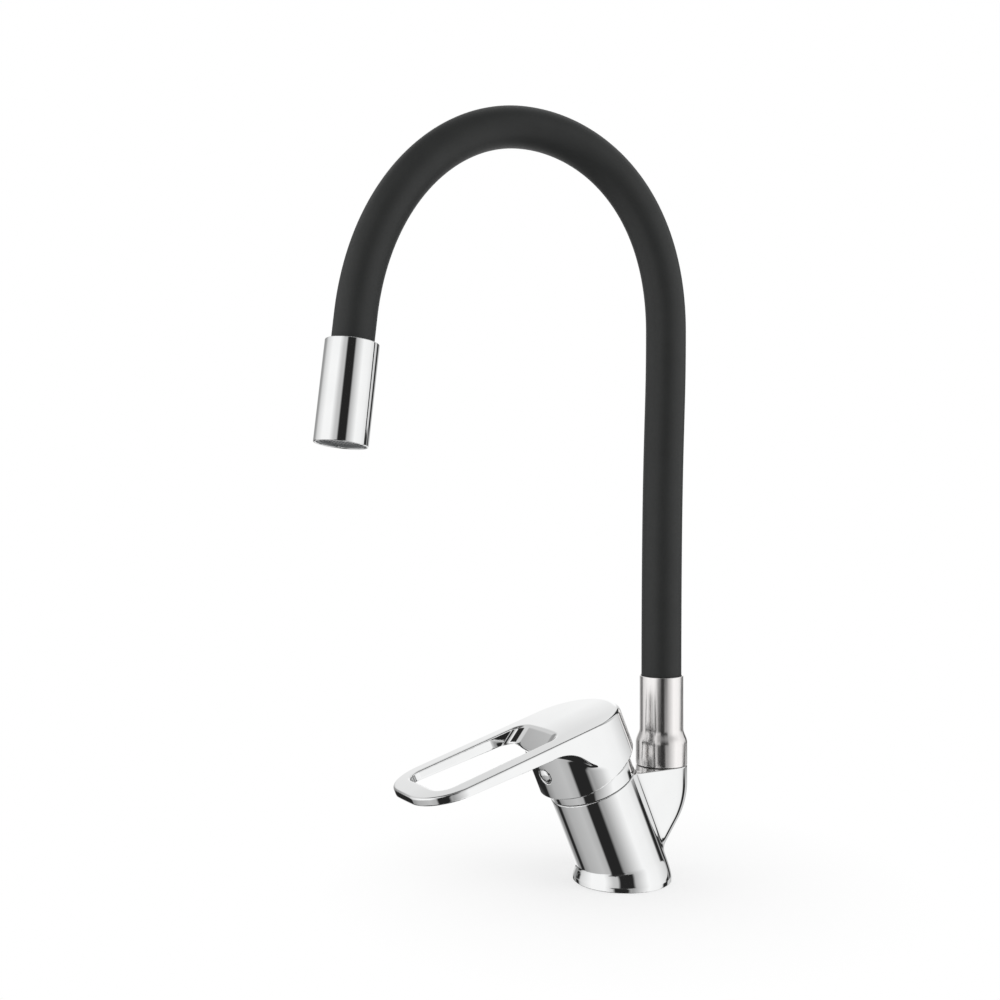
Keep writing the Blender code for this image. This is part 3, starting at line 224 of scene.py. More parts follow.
materials = {
    "chrome": metal("chrome", (0.925, 0.93, 0.93), 0.02, 0.02),
    "satin_steel": brushed("satin_steel", (0.98, 0.955, 0.945)),
    "brass": metal("brass", (0.74, 0.58, 0.30), 0.25, 0.15, 0.1),
    "steel": metal("steel", (0.60, 0.61, 0.62), 0.25, 0.12, 0.08),
    "black_rubber": plain("black_rubber", (0.03, 0.03, 0.032), 0.55, 0.15),
    "black_silicone": plain("black_silicone", (0.018, 0.0192, 0.0188), 0.45, 0.10, 900.0, 0.10, 0.42),
    "ceramic": plain("ceramic", (0.85, 0.84, 0.80), 0.2, 0.1, 300.0, 0.03),
    "white_plastic": plain("white_plastic", (0.80, 0.80, 0.78), 0.4, 0.1),
    "grey_plastic": plain("grey_plastic", (0.16, 0.165, 0.17), 0.4, 0.12),
}
for part in frame["record"]["subparts"]:
    node = frame["nodes"][part["node"]]
    node.data.materials.clear()
    node.data.materials.append(materials[part["material_slot"]])


# Meshes


def shown(name, slot, body, replaced, vertices, faces, normals=None, place=None):
    """Makes a smooth mesh a piece of the scene, in place of the CAD nodes that it stands for."""
    mesh = bpy.data.meshes.new(name)
    mesh.from_pydata([tuple(v) for v in vertices], [], [tuple(f) for f in faces])
    mesh.update()
    mesh.shade_smooth()
    if place is not None:
        mesh.transform(place)
    if normals is not None:
        turn = np.array(place.to_3x3()) if place is not None else np.eye(3)
        mesh.normals_split_custom_set_from_vertices((normals @ turn.T).tolist())
    made = bpy.data.objects.new(name, mesh)
    bpy.context.scene.collection.objects.link(made)
    mesh.materials.append(materials[slot])
    if replaced:
        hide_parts(*replaced)
    if body:
        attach(made, body)
    return made


def turned(profile, sides):
    """Vertices and faces of a ring-shaped body turned round Z, from its (radius, height) points."""
    angles = np.arange(sides) * 2 * math.pi / sides
    circle = np.stack([np.cos(angles), np.sin(angles), np.zeros(sides)], 1)
    rings = [circle * (r, r, 0) + (0, 0, z) for r, z in profile]
    faces = []
    for low in range(len(rings)):
        high = (low + 1) % len(rings)
        for i in range(sides):
            j = (i + 1) % sides
            faces.append((low * sides + i, low * sides + j, high * sides + j, high * sides + i))
    return np.concatenate(rings), faces


def soft(profile, radius):
    """Rounds the corners of a closed profile with small arcs."""
    points = [Vector(p) for p in profile]
    count = len(points)
    out = []
    for i, corner in enumerate(points):
        before = points[i - 1] - corner
        after = points[(i + 1) % count] - corner
        size = min(radius, before.length * 0.45, after.length * 0.45)
        start = corner + before.normalized() * size
        end = corner + after.normalized() * size
        for share in (0, 0.25, 0.5, 0.75, 1):
            point = start * (1 - share) ** 2 + corner * 2 * share * (1 - share) + end * share**2
            out.append(tuple(point))
    return out


# An edge that turns by more than this stays sharp
SHARP = math.radians(40)


def turned_piece(name, slot, body, replaced, profile, place, round_by=0.0003, sides=128):
    vertices, faces = turned(soft(profile, round_by), sides)
    made = shown(name, slot, None, replaced, vertices, faces, place=place)
    bm = bmesh.new()
    bm.from_mesh(made.data)
    bmesh.ops.recalc_face_normals(bm, faces=bm.faces)
    bm.to_mesh(made.data)
    bm.free()
    made.data.set_sharp_from_angle(angle=SHARP)
    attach(made, body)
    return made


# Smooth solids: a surface is where a function of the place is 0, with its edges rounded in the function


def smooth_max(a, b, size):
    blend = np.clip(1 - np.abs(a - b) / size, 0, None)
    return np.maximum(a, b) + blend * blend * size / 4


def smooth_min(a, b, size):
    return -smooth_max(-a, -b, size)


def gradient(function, points, step=0.02):
    out = np.empty_like(points)
    for axis in range(3):
        shift = np.zeros(3)
        shift[axis] = step
        ahead = function(*(points + shift).T)
        out[:, axis] = (ahead - function(*(points - shift).T)) / (2 * step)
    return out


# How often each vertex is pulled to the surface, and the grid's steps for large and small solids
PULLS = 6
STEP = 0.5
FINE_STEP = 0.3


def solid(function, low, high, step):
    """The surface where the function is 0, as vertices, faces and normals, in millimetres."""
    axes = [np.arange(a, b + step, step) for a, b in zip(low, high)]
    grid = np.meshgrid(*axes, indexing="ij")
    inside = function(*grid) < 0
    count = [len(a) - 1 for a in axes]
    mixed = np.zeros(count, int)
    for i in (0, 1):
        for j in (0, 1):
            for k in (0, 1):
                mixed += inside[i:i + count[0], j:j + count[1], k:k + count[2]]
    cells = np.argwhere((mixed > 0) & (mixed < 8))
    index = np.full(count, -1)
    index[tuple(cells.T)] = np.arange(len(cells))
    vertices = cells * step + step / 2 + np.array(low)
    faces = []
    for axis in range(3):
        one, two = [a for a in range(3) if a != axis]
        ahead = np.moveaxis(inside, (axis, one, two), (0, 1, 2))
        table = np.moveaxis(index, (axis, one, two), (0, 1, 2))
        cross = ahead[1:] != ahead[:-1]
        places = np.argwhere(cross[:, 1:-1, 1:-1]) + (0, 1, 1)
        a, b, c = places.T
        quad = np.stack(
            [table[a, b - 1, c - 1], table[a, b, c - 1], table[a, b, c], table[a, b - 1, c]], 1
        )
        flip = ahead[a, b, c] if axis != 1 else ~ahead[a, b, c]
        quad[~flip] = quad[~flip][:, ::-1]
        faces.append(quad)
    faces = np.concatenate(faces)
    for _ in range(PULLS):
        slope = gradient(function, vertices)
        value = function(*vertices.T)
        size = np.clip((slope**2).sum(1), 0.2, None)
        move = slope * (value / size)[:, None]
        length = np.linalg.norm(move, axis=1)
        move *= np.minimum(1, step * 0.7 / np.maximum(length, 1e-9))[:, None]
        vertices = vertices - move
    slope = gradient(function, vertices)
    normals = slope / np.maximum(np.linalg.norm(slope, axis=1), 1e-9)[:, None]
    return vertices, faces, normals


def solid_piece(name, slot, body, replaced, made, place, forward=False):
    """Places a smooth solid. Forward means that its second coordinate runs along -Y."""
    vertices, faces, normals = made
    if forward:
        turn = np.array((1, -1, 1))
        vertices, normals, faces = vertices * turn, normals * turn, faces[:, ::-1]
    return shown(name, slot, body, replaced, vertices / 1000, faces, normals, place)


# Handle, in millimetres across, forward and up along the leaning axis


SKIRT_RADIUS = 26.9
SKIRT_FOOT = 63.7
SKIRT_FOOT_SLANT = 0.2
SKIRT_FOOT_FLAT = 15
TIP_CORNER = 20
TIP_CORNER_ACROSS = 6.9
TIP_CORNER_FORWARD = 76.4
TIP_BOW = 1.2
TOP_HEIGHT = 95.4
TOP_SLOPE = 0.112
TOP_SLOPE_COSINE = 0.994
TOP_CROWN = 0.6
TOP_EDGE = 1.2
TOP_EDGE_BEHIND = 3.0
# The web between the skirt and the lever's flat underside
WEB_FORWARD = 30
WEB_HEIGHT = 71.9
WEB_RADIUS = 20.3
WEB_BLEND = 3.0
UNDERSIDE_HEIGHT = 92.2
UNDERSIDE_SLOPE = 0.150
UNDERSIDE_COSINE = 0.989
FADE_HEIGHT = 75
FADE_SLOPE = 0.46
FADE_COSINE = 0.908
SKIRT_BLEND = 4.0
HOLLOW_RADIUS = 24.6
HOLLOW_TOP = 89.2
BOSS_RADIUS = 8.5
BOSS_FOOT = 73.2
SLOT_START = 17.0
SLOT_START_HEIGHT = 97.3
SLOT_SLANT = 1.846
SLOT_END = 87.0
SLOT_CORNER = 8
SLOT_CORNER_ACROSS = 10.8
SLOT_EDGE = 1.1
INDEX_HEIGHT = 76.7
INDEX_HOLE = 4.2
# The plug's dome, as radius and height, and where it sits, in metres
INDEX_DOME = ((0, 3.8), (1.2, 3.75), (2.2, 3.6), (3.0, 3.35), (3.5, 3.1), (3.7, 2.8), (3.7, 0))
INDEX_SEAT = (0, -0.0239, 0.0767)
# Rounding where the skirt meets the web, at its lower edge, inside it, and round the plug's hole
WEB_EDGE = 0.8
SKIRT_FOOT_EDGE = 0.5
HOLLOW_EDGE = 0.4
INDEX_EDGE = 0.3


def corner(a, b, radius):
    """Distance to a rounded corner, from the distances past its centre on two sides."""
    return np.hypot(np.maximum(a, 0), np.maximum(b, 0)) + np.minimum(np.maximum(a, b), 0) - radius


def above(up, forward, height, slope, cosine):
    """Distance above a plane that rises forward."""
    return (up - height - slope * forward) * cosine


def handle_outline(x, forward):
    """Signed distance to the handle's outline, as seen along its axis."""
    across = np.abs(x)
    tip = forward - TIP_BOW * (1 - (x / SKIRT_RADIUS) ** 2)
    rounded = corner(across - TIP_CORNER_ACROSS, tip - TIP_CORNER_FORWARD, TIP_CORNER)
    behind = np.hypot(x, forward) - SKIRT_RADIUS
    return np.where(forward < 0, behind, np.maximum(across - SKIRT_RADIUS, rounded))


def handle_form(x, forward, up):
    """The skirt, the web and the lever, with the hollow, the finger slot and the plug's hole cut out."""
    outline = handle_outline(x, forward)
    from_axis = np.hypot(x, forward)
    crown = TOP_CROWN * (1 - (x / SKIRT_RADIUS) ** 2)
    top = (up - TOP_HEIGHT - TOP_SLOPE * forward - crown) * TOP_SLOPE_COSINE
    edge = TOP_EDGE + TOP_EDGE_BEHIND * np.clip(-forward / SKIRT_RADIUS, 0, 1)
    foot = SKIRT_FOOT + SKIRT_FOOT_SLANT * np.clip(SKIRT_FOOT_FLAT - forward, 0, None) - up
    arc = np.hypot(forward - WEB_FORWARD, np.maximum(up - WEB_HEIGHT, 0)) - WEB_RADIUS
    fade = above(up, forward, FADE_HEIGHT, FADE_SLOPE, FADE_COSINE)
    underside = above(up, forward - WEB_FORWARD, UNDERSIDE_HEIGHT, UNDERSIDE_SLOPE, UNDERSIDE_COSINE)
    kept = np.where(forward < WEB_FORWARD, smooth_min(arc, fade, WEB_BLEND), underside)
    form = smooth_max(outline, top, edge)
    form = smooth_max(form, smooth_min(from_axis - SKIRT_RADIUS, -kept, SKIRT_BLEND), WEB_EDGE)
    form = smooth_max(form, foot, SKIRT_FOOT_EDGE)
    hollow = np.maximum(from_axis - HOLLOW_RADIUS, up - HOLLOW_TOP)
    boss = np.maximum(from_axis - BOSS_RADIUS, BOSS_FOOT - up)
    form = smooth_max(form, -np.maximum(hollow, -boss), HOLLOW_EDGE)
    start = SLOT_START + (SLOT_START_HEIGHT - up) * SLOT_SLANT
    middle, half = (start + SLOT_END) / 2, (SLOT_END - start) / 2
    ahead = np.abs(forward - middle) - (half - SLOT_CORNER)
    form = smooth_max(form, -corner(np.abs(x) - SLOT_CORNER_ACROSS, ahead, SLOT_CORNER), SLOT_EDGE)
    side = x * math.cos(INDEX_TURN) + -forward * math.sin(INDEX_TURN)
    eye = np.maximum(np.hypot(side, up - INDEX_HEIGHT) - INDEX_HOLE, -forward)
    return smooth_max(form, -eye, INDEX_EDGE)


def make_handle():
    form = solid(handle_form, (-28.4, -28.4, 61.0), (28.4, 98.2, 109.6), STEP)
    solid_piece("handle_loop", "chrome", "lever", ["handle"], form, LEAN_PLACE, forward=True)
    pin_hole = 0.00002
    profile = [(max(radius / 1000, pin_hole), height / 1000) for radius, height in INDEX_DOME]
    profile.append((pin_hole, 0))
    place = LEAN_PLACE @ Matrix.Rotation(INDEX_TURN, 4, "Z") @ Matrix.Translation(INDEX_SEAT)
    place = place @ Matrix.Rotation(math.pi / 2, 4, "X")
    turned_piece("index_dome", "chrome", "lever", ["index_cap"], profile, place, 0.0001, 48)


# Body and arm, in millimetres


SIDE_RADIUS = 23.1
AXIS_BACK = 3.6
BODY_TOP = 57.4
SIDE_SCALE = 0.96
FOOT_RADIUS = 26
RIM_HEIGHT = 2.0
WAIST_FRONT = 8.2
WAIST_RISE = 6.6
WAIST_PULL = 0.28
RIM_PULL = 0.20
ARM_RADIUS = 13.8
ARM_BACK = 26
ARM_TOP = 57.7
ARM_STRAIGHT = 9.0
ARM_FOOT = 9.0
ARM_FRONT = 4
ARM_BEND = 32
ARM_SLOPE = math.radians(36)
ARM_BLEND = 2.6
# The two water inlets and the stud's hole: across, back, radius and depth
BORES = ((-7.8, -11.28, 4.6, 22), (7.8, -11.28, 4.6, 22), (0, 10.5, 3.4, 12))
GROOVE_RADIUS = 22.2
GROOVE_HALF_WIDTH = 1.2
GROOVE_DEPTH = 1.8
TABLE_TOP = 66
# Rounding of the body's and the arm's edges, the openings and the groove
BODY_EDGE = 0.5
ARM_EDGE = 0.6
BORE_EDGE = 0.3
GROOVE_EDGE = 0.2


def flare_point(height, angle, lean):
    """A point of the body's outside: on the leaning side, the bell curve below the waist, or the rim."""
    waist_height = WAIST_FRONT + WAIST_RISE * (1 + math.sin(angle)) / 2
    side = np.array((SIDE_RADIUS * math.cos(angle), SIDE_RADIUS * math.sin(angle)))
    level = max(height, waist_height)
    along = (level - side[1] * lean[2, 1]) / lean[2, 2]
    waist = np.array((side[0], AXIS_BACK + side[1] * lean[1, 1] + along * lean[1, 2], level))
    if height >= waist_height:
        return tuple(waist[:2])
    rim = np.array((FOOT_RADIUS * math.cos(angle), FOOT_RADIUS * math.sin(angle), RIM_HEIGHT))
    if height <= RIM_HEIGHT:
        return tuple(rim[:2])
    down = np.array((0, -lean[1, 2], -lean[2, 2]))
    upper = waist + down * ((waist_height - RIM_HEIGHT) / lean[2, 2] * WAIST_PULL)
    lower = rim + np.array((0, 0, (waist_height - RIM_HEIGHT) * RIM_PULL))
    shares = np.linspace(0, 1, 60)
    curve = (
        rim * ((1 - shares) ** 3)[:, None]
        + lower * (3 * shares * (1 - shares) ** 2)[:, None]
        + upper * (3 * shares**2 * (1 - shares))[:, None]
        + waist * (shares**3)[:, None]
    )
    return np.interp(height, curve[:, 2], curve[:, 0]), np.interp(height, curve[:, 2], curve[:, 1])


def flare_table():
    """The radius of the body round its leaning axis, by height (rows) and angle (columns)."""
    heights = np.arange(0, TABLE_TOP, 0.5)
    angles = np.radians(np.arange(-180, 181, 3))
    lean = np.array(LEAN_PLACE.to_3x3())
    table = np.zeros((len(heights), len(angles)))
    fine = np.radians(np.arange(0, 360, 2))
    for row, height in enumerate(heights):
        ring = np.array([flare_point(height, angle, lean) for angle in fine])
        centre = body_centre(height)
        turn = np.arctan2(ring[:, 1] - centre, ring[:, 0])
        radius = np.hypot(ring[:, 1] - centre, ring[:, 0])
        order = np.argsort(turn)
        table[row] = np.interp(angles, turn[order], radius[order], period=2 * math.pi)
    return heights, angles, table


def body_centre(height):
    return AXIS_BACK - height * math.tan(LEAN)


HEIGHTS, ANGLES, FLARE = flare_table()


def body_radius(x, y, z):
    """Reads the flare table between its entries."""
    turn = np.arctan2(y - body_centre(z), x)
    a = np.clip((z - HEIGHTS[0]) / (HEIGHTS[1] - HEIGHTS[0]), 0, len(HEIGHTS) - 1.001)
    b = np.clip((turn - ANGLES[0]) / (ANGLES[1] - ANGLES[0]), 0, len(ANGLES) - 1.001)
    i, j = a.astype(int), b.astype(int)
    u, v = a - i, b - j
    low = FLARE[i, j] * (1 - v) + FLARE[i, j + 1] * v
    high = FLARE[i + 1, j] * (1 - v) + FLARE[i + 1, j + 1] * v
    return low * (1 - u) + high * u


def arm_centre(z):
    """How far back the arm's round back has its centre, straight at the top, then bent, then sloping."""
    below = ARM_TOP - ARM_STRAIGHT - z
    bend = ARM_BEND * math.sin(ARM_SLOPE)
    curved = ARM_BACK - ARM_BEND * (1 - np.sqrt(np.clip(1 - (below / ARM_BEND) ** 2, 0, 1)))
    sloping = ARM_BACK - ARM_BEND * (1 - math.cos(ARM_SLOPE)) - (below - bend) * math.tan(ARM_SLOPE)
    return np.where(below <= 0, ARM_BACK, np.where(below <= bend, curved, sloping))


def body_form(x, y, z):
    """The leaning body with its foot and the arm, with the openings and the groove of the underside."""
    side = (np.hypot(x, y - body_centre(z)) - body_radius(x, y, z)) * SIDE_SCALE
    along = -(y - AXIS_BACK) * math.sin(LEAN) + z * math.cos(LEAN)
    body = smooth_max(side, along - BODY_TOP, BODY_EDGE)
    behind = y - arm_centre(z)
    plan = np.where(behind < 0, np.abs(x) - ARM_RADIUS, np.hypot(x, behind) - ARM_RADIUS)
    arm = smooth_max(plan, z - ARM_TOP, ARM_EDGE)
    arm = np.maximum(np.maximum(arm, ARM_FOOT - z), -ARM_FRONT - y)
    form = smooth_min(body, arm, ARM_BLEND)
    form = smooth_max(form, -z, BODY_EDGE)
    form = np.maximum(form, along - BODY_TOP)
    for bore_x, bore_y, radius, depth in BORES:
        bore = np.maximum(np.hypot(x - bore_x, y - bore_y) - radius, z - depth)
        form = smooth_max(form, -bore, BORE_EDGE)
    groove = np.maximum(np.abs(np.hypot(x, y) - GROOVE_RADIUS) - GROOVE_HALF_WIDTH, z - GROOVE_DEPTH)
    return smooth_max(form, -groove, GROOVE_EDGE)


def make_body():
    form = solid(body_form, (-27.4, -47.2, -1.3), (27.4, 41.6, 62.9), STEP)
    solid_piece("body_and_arm", "chrome", "faucet_body", ["mixer_body"], form, Matrix.Identity(4))
    foot, side, crown_radius = BODY_LENGTH + 0.0003, BODY_LENGTH + 0.0061, 0.003
    crown = [
        (0.0199 + crown_radius * math.cos(a), side + crown_radius * math.sin(a))
        for a in np.linspace(0, math.pi / 2, 9)
    ]
    profile = [
        (0.0214, side + 0.0015), (0.0214, foot), (0.0229, foot), *crown,
        (0.0136, side + crown_radius), (0.0136, side + 0.0015),
    ]
    turned_piece("trim_collar", "chrome", "faucet_body", ["trim_ring"], profile, LEAN_PLACE, 0.0002)


# Spout


def head_axis():
    return Vector((math.tan(HEAD_TURN), -math.tan(HEAD_TILT), -1)).normalized()


def bezier(points, share):
    a, b, c, d = points
    rest = 1 - share
    return a * rest**3 + b * 3 * rest**2 * share + c * 3 * rest * share**2 + d * share**3


class Route:
    """Close points along the hose, with the length up to each of them."""

    def __init__(self):
        up, forward = Vector((0, 0, 1)), Vector((0, -1, 0))
        foot = Vector((0, 0, COVER_TOP - SKIN_SEAT))
        arch, top = ARCH_FOOT, ARCH_TOP
        cup = HEAD_PLACE - head_axis() * TAIL_REACH
        curves = [
            (foot, foot + up * 0.1435, arch - up * 0.0543, arch),
            (arch, arch + up * 0.0704, top - forward * 0.0400, top),
            (top, top + forward * 0.0412, cup - head_axis() * 0.0628, cup),
        ]
        steps = 120
        points = [bezier(curve, i / steps) for curve in curves for i in range(steps)]
        points += [cup, HEAD_PLACE, HEAD_PLACE + head_axis() * SKIN_IN_HEAD]
        self.points = [SPOUT_PLACE @ p for p in points]
        self.lengths = [0.0]
        for a, b in zip(self.points, self.points[1:]):
            self.lengths.append(self.lengths[-1] + (b - a).length)
        self.cup, self.end = self.lengths[-3], self.lengths[-1]
        self.table = np.array([tuple(p) for p in self.points])

    def at(self, length):
        return Vector([np.interp(length, self.lengths, self.table[:, i]) for i in range(3)])

    def way(self, length):
        span = 0.003
        low, high = max(length - span, 0), min(length + span, self.end)
        return (self.at(high) - self.at(low)).normalized()

    def joints(self):
        """How far along the route each joint of the gooseneck is."""
        first = SKIN_SEAT + FIRST_JOINT
        lengths = [first + STEM_PITCH * i for i in range(STEM_JOINTS)]
        pitch = (self.cup - lengths[-1]) / ARCH_JOINTS
        return lengths + [lengths[-1] + pitch * (i + 1) for i in range(ARCH_JOINTS)]


def tube(route, start, end, radius, sides, spacing):
    """Rings square to the route, with their normals."""
    count = max(3, round((end - start) / spacing) + 1)
    vertices, normals, faces = [], [], []
    side = SPOUT_PLACE.to_3x3() @ Vector((1, 0, 0))
    for i in range(count):
        length = start + (end - start) * i / (count - 1)
        centre, way = route.at(length), route.way(length)
        across = (side - way * side.dot(way)).normalized()
        third = way.cross(across)
        for k in range(sides):
            angle = 2 * math.pi * k / sides
            out = across * math.cos(angle) + third * math.sin(angle)
            vertices.append(centre + out * radius)
            normals.append(tuple(out))
    for i in range(count - 1):
        for k in range(sides):
            j = (k + 1) % sides
            faces.append((i * sides + k, i * sides + j, (i + 1) * sides + j, (i + 1) * sides + k))
    return vertices, faces, np.array(normals)


def make_hose():
    """The skin and the water hose, each in one stretch for every joint of the gooseneck."""
    route = Route()
    joints = route.joints()
    # Each hose's name, slot and CAD node, its radius, its sides, and the spacing of its rings
    for name, slot, node, radius, sides, spacing in (
        ("skin", "black_silicone", "silicone_sleeve", SKIN_RADIUS, 64, 0.0022),
        ("inner_hose", "white_plastic", "water_hose", HOSE_RADIUS, 16, 0.004),
    ):
        for i, joint in enumerate(joints):
            start = 0 if i == 0 else (joints[i - 1] + joint) / 2
            end = route.end if i == len(joints) - 1 else (joint + joints[i + 1]) / 2
            vertices, faces, normals = tube(route, start, end, radius, sides, spacing)
            piece = shown(f"{name}_{i + 1:02d}", slot, None, [node], vertices, faces, normals)
            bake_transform(piece)


def make_sleeve():
    """The sleeve at the foot of the hose: wide below, with a soft taper to its neck."""
    wide, neck, wall, bore = 0.01385, 0.01177, 0.0012, 0.0110
    step, neck_foot = COVER_FOOT + 0.0118, COVER_FOOT + 0.0190
    taper = [
        (wide - (wide - neck) * (3 * s * s - 2 * s**3), step + (neck_foot - step) * s)
        for s in np.linspace(0, 1, 12)
    ]
    profile = [
        (wide - wall, COVER_FOOT), (wide, COVER_FOOT), *taper, (neck, COVER_TOP), (bore, COVER_TOP),
        (bore, neck_foot), (wide - wall, step),
    ]
    replaced = ["lower_sleeve"]
    turned_piece("brushed_sleeve", "satin_steel", "spout_foot", replaced, profile, SPOUT_PLACE, 0.0004)


def head_frame():
    """Z runs down the head from its top."""
    way = (SPOUT_PLACE.to_3x3() @ head_axis()).normalized()
    side = SPOUT_PLACE.to_3x3() @ Vector((1, 0, 0))
    across = (side - way * side.dot(way)).normalized()
    turn = Matrix((across, way.cross(across), way)).transposed().to_4x4()
    return Matrix.Translation(SPOUT_PLACE @ HEAD_PLACE) @ turn


def make_head():
    """The outlet's sleeve, and in its end the ring and the grid."""
    place = head_frame()
    inner, cap, bore = HEAD_RADIUS - 0.0013, 0.0020, 0.0110
    profile = [
        (HEAD_RADIUS, 0), (HEAD_RADIUS, HEAD_LENGTH), (inner, HEAD_LENGTH), (inner, cap), (bore, cap),
        (bore, 0),
    ]
    turned_piece("head_sleeve", "chrome", "head", ["head_shell"], profile, place, 0.0004)
    form = solid(aerator_ring_form, (-12.6, -12.6, 37.6), (12.6, 12.6, 51.2), FINE_STEP)
    solid_piece("aerator_ring", "grey_plastic", "head", ["aerator_housing"], form, place)
    vertices, faces = perforated_plate(radius=9.6, low=45.3, high=49.3, pitch=1.75, hole=0.62)
    rim, rim_faces = turned([(9.1, 45.0), (10.2, 45.0), (10.2, 49.6), (9.1, 49.6)], 96)
    faces += [tuple(i + len(vertices) for i in face) for face in rim_faces]
    vertices = np.concatenate([np.array(vertices), rim]) / 1000
    grid = shown("aerator_grid", "grey_plastic", None, ["flow_insert"], vertices, faces, place=place)
    grid.data.set_sharp_from_angle(angle=SHARP)
    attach(grid, "head")


# The ring in the head's end, in millimetres
RING_RADIUS = 11.25
RING_HALF_WALL = 0.8
RING_MIDDLE = 44.3
RING_HALF_LENGTH = 6.0
NOTCH_HALF_WIDTH = 1.5
NOTCH_FLOOR = 49.2


def aerator_ring_form(x, y, z):
    """The ring, with a notch for a coin on each side."""
    wall = np.abs(np.hypot(x, y) - RING_RADIUS) - RING_HALF_WALL
    ring = smooth_max(wall, np.abs(z - RING_MIDDLE) - RING_HALF_LENGTH, 0.5)
    notch = np.maximum(np.abs(y) - NOTCH_HALF_WIDTH, NOTCH_FLOOR - z)
    return smooth_max(ring, -notch, 0.3)


def perforated_plate(radius, low, high, pitch, hole):
    """A plate of six-sided cells, each with a round hole through it."""
    vertices, faces = [], []
    sides = 12
    turns = [2 * math.pi * k / sides for k in range(sides)]
    rows = int(radius / pitch * 1.3) + 1
    for row in range(-rows, rows + 1):
        for column in range(-rows, rows + 1):
            x, y = pitch * (column + row / 2), pitch * row * math.sqrt(0.75)
            if math.hypot(x, y) > radius - pitch * 0.3:
                continue
            start = len(vertices)
            for z in (low, high):
                for a in turns:
                    cell = pitch / 2 / math.cos((a + math.pi / 6) % (math.pi / 3) - math.pi / 6)
                    vertices.append((x + cell * math.cos(a), y + cell * math.sin(a), z))
                for a in turns:
                    vertices.append((x + hole * math.cos(a), y + hole * math.sin(a), z))
            for k in range(sides):
                j = (k + 1) % sides
                lower, upper = start, start + 2 * sides
                faces.append((lower + j, lower + k, lower + sides + k, lower + sides + j))
                faces.append((upper + k, upper + j, upper + sides + j, upper + sides + k))
                faces.append((lower + sides + k, upper + sides + k, upper + sides + j, lower + sides + j))
    return vertices, faces


make_handle()
make_body()
make_sleeve()
make_hose()
make_head()


# Studio


# The room that metal mirrors, by the mirrored ray's turn, in degrees from the camera's back, and by its
# rise, from -1 straight down to 1 straight up. A wall has the rises where it begins to show and where it is
# full, and its shade from side to side
WALLS = {
    "low": (-1, -1, (
        (-180, 0.6), (-145, 0.3), (-120, 0.3), (-100, 0.45), (-50, 0.55), (15, 0.3), (60, 1.0), (180, 0.8),
    )),
    "middle": (-0.6, -0.52, (
        (-180, 1.05), (-165, 0.85), (-150, 0.3), (-130, 0.35), (-115, 0.7), (-80, 1.0), (-45, 1.0),
        (-25, 0.6), (20, 0.35), (60, 1.0), (90, 0.95), (125, 0.7), (155, 0.5), (170, 1.05), (180, 1.05),
    )),
    "high": (0.43, 0.5, (
        (-180, 0.85), (-150, 0.65), (-110, 0.7), (-80, 1.0), (-45, 1.0), (-25, 0.6), (15, 0.4), (60, 0.45),
        (125, 0.7), (180, 0.85),
    )),
    "ceiling": (0.74, 0.81, (
        (-180, 0.9), (-140, 0.2), (-100, 0.1), (90, 0.1), (105, 0.5), (150, 0.85), (180, 0.9),
    )),
}
DARK = 0.02
# Dark panels in front of the walls: the turns of the left and right edges, and the rises of the lower and
# upper ones
PANELS = {
    "camera, low": (-21, 9, -0.9, -0.21),
    "camera, arm": (-28, 5, -0.21, -0.04),
    "camera, level": (-19, 13, -0.04, 0.035),
    "camera, middle": (-8, 22, 0.035, 0.5),
    "camera, high": (-24, 8, 0.5, 0.6),
    "left, low": (-138, -128, -0.9, -0.21),
    "left, arm": (-135, -126, -0.14, -0.04),
    "left, level": (-131, -123, -0.04, 0.035),
    "right, low": (107, 123, -0.56, -0.21),
    "right, arm": (117, 128, -0.21, -0.04),
    "right, edge": (137, 144, -0.21, -0.04),
    "right, middle": (135, 146, -0.04, 0.36),
    "below": (-180, 180, -1, -0.84),
}
PANEL_SIDE_FADE = 6
PANEL_END_FADE = 0.01
# Two slanted panels, each with its lower edge as rise by turn, its thickness, and the turns where it fades
SLANTED = {
    "left": (((-180, -0.26), (-160, -0.39), (-137, -0.55), (-118, -0.64)), 0.11, (-174, -166, -138, -133)),
    "top": (((-112, 0.58), (-95, 0.66), (-75, 0.71), (-58, 0.715)), 0.05, (-108, -104, -58, -50)),
}
SLANTED_SOFT = 0.005
SLANTED_FADE = 0.02
# The ways to the camera's back and right, on the floor
CAMERA_BACK = (0.866, -0.5)
CAMERA_RIGHT = (0.5, 0.866)
# What matt surfaces see on all sides
FILL_GREY = 0.80


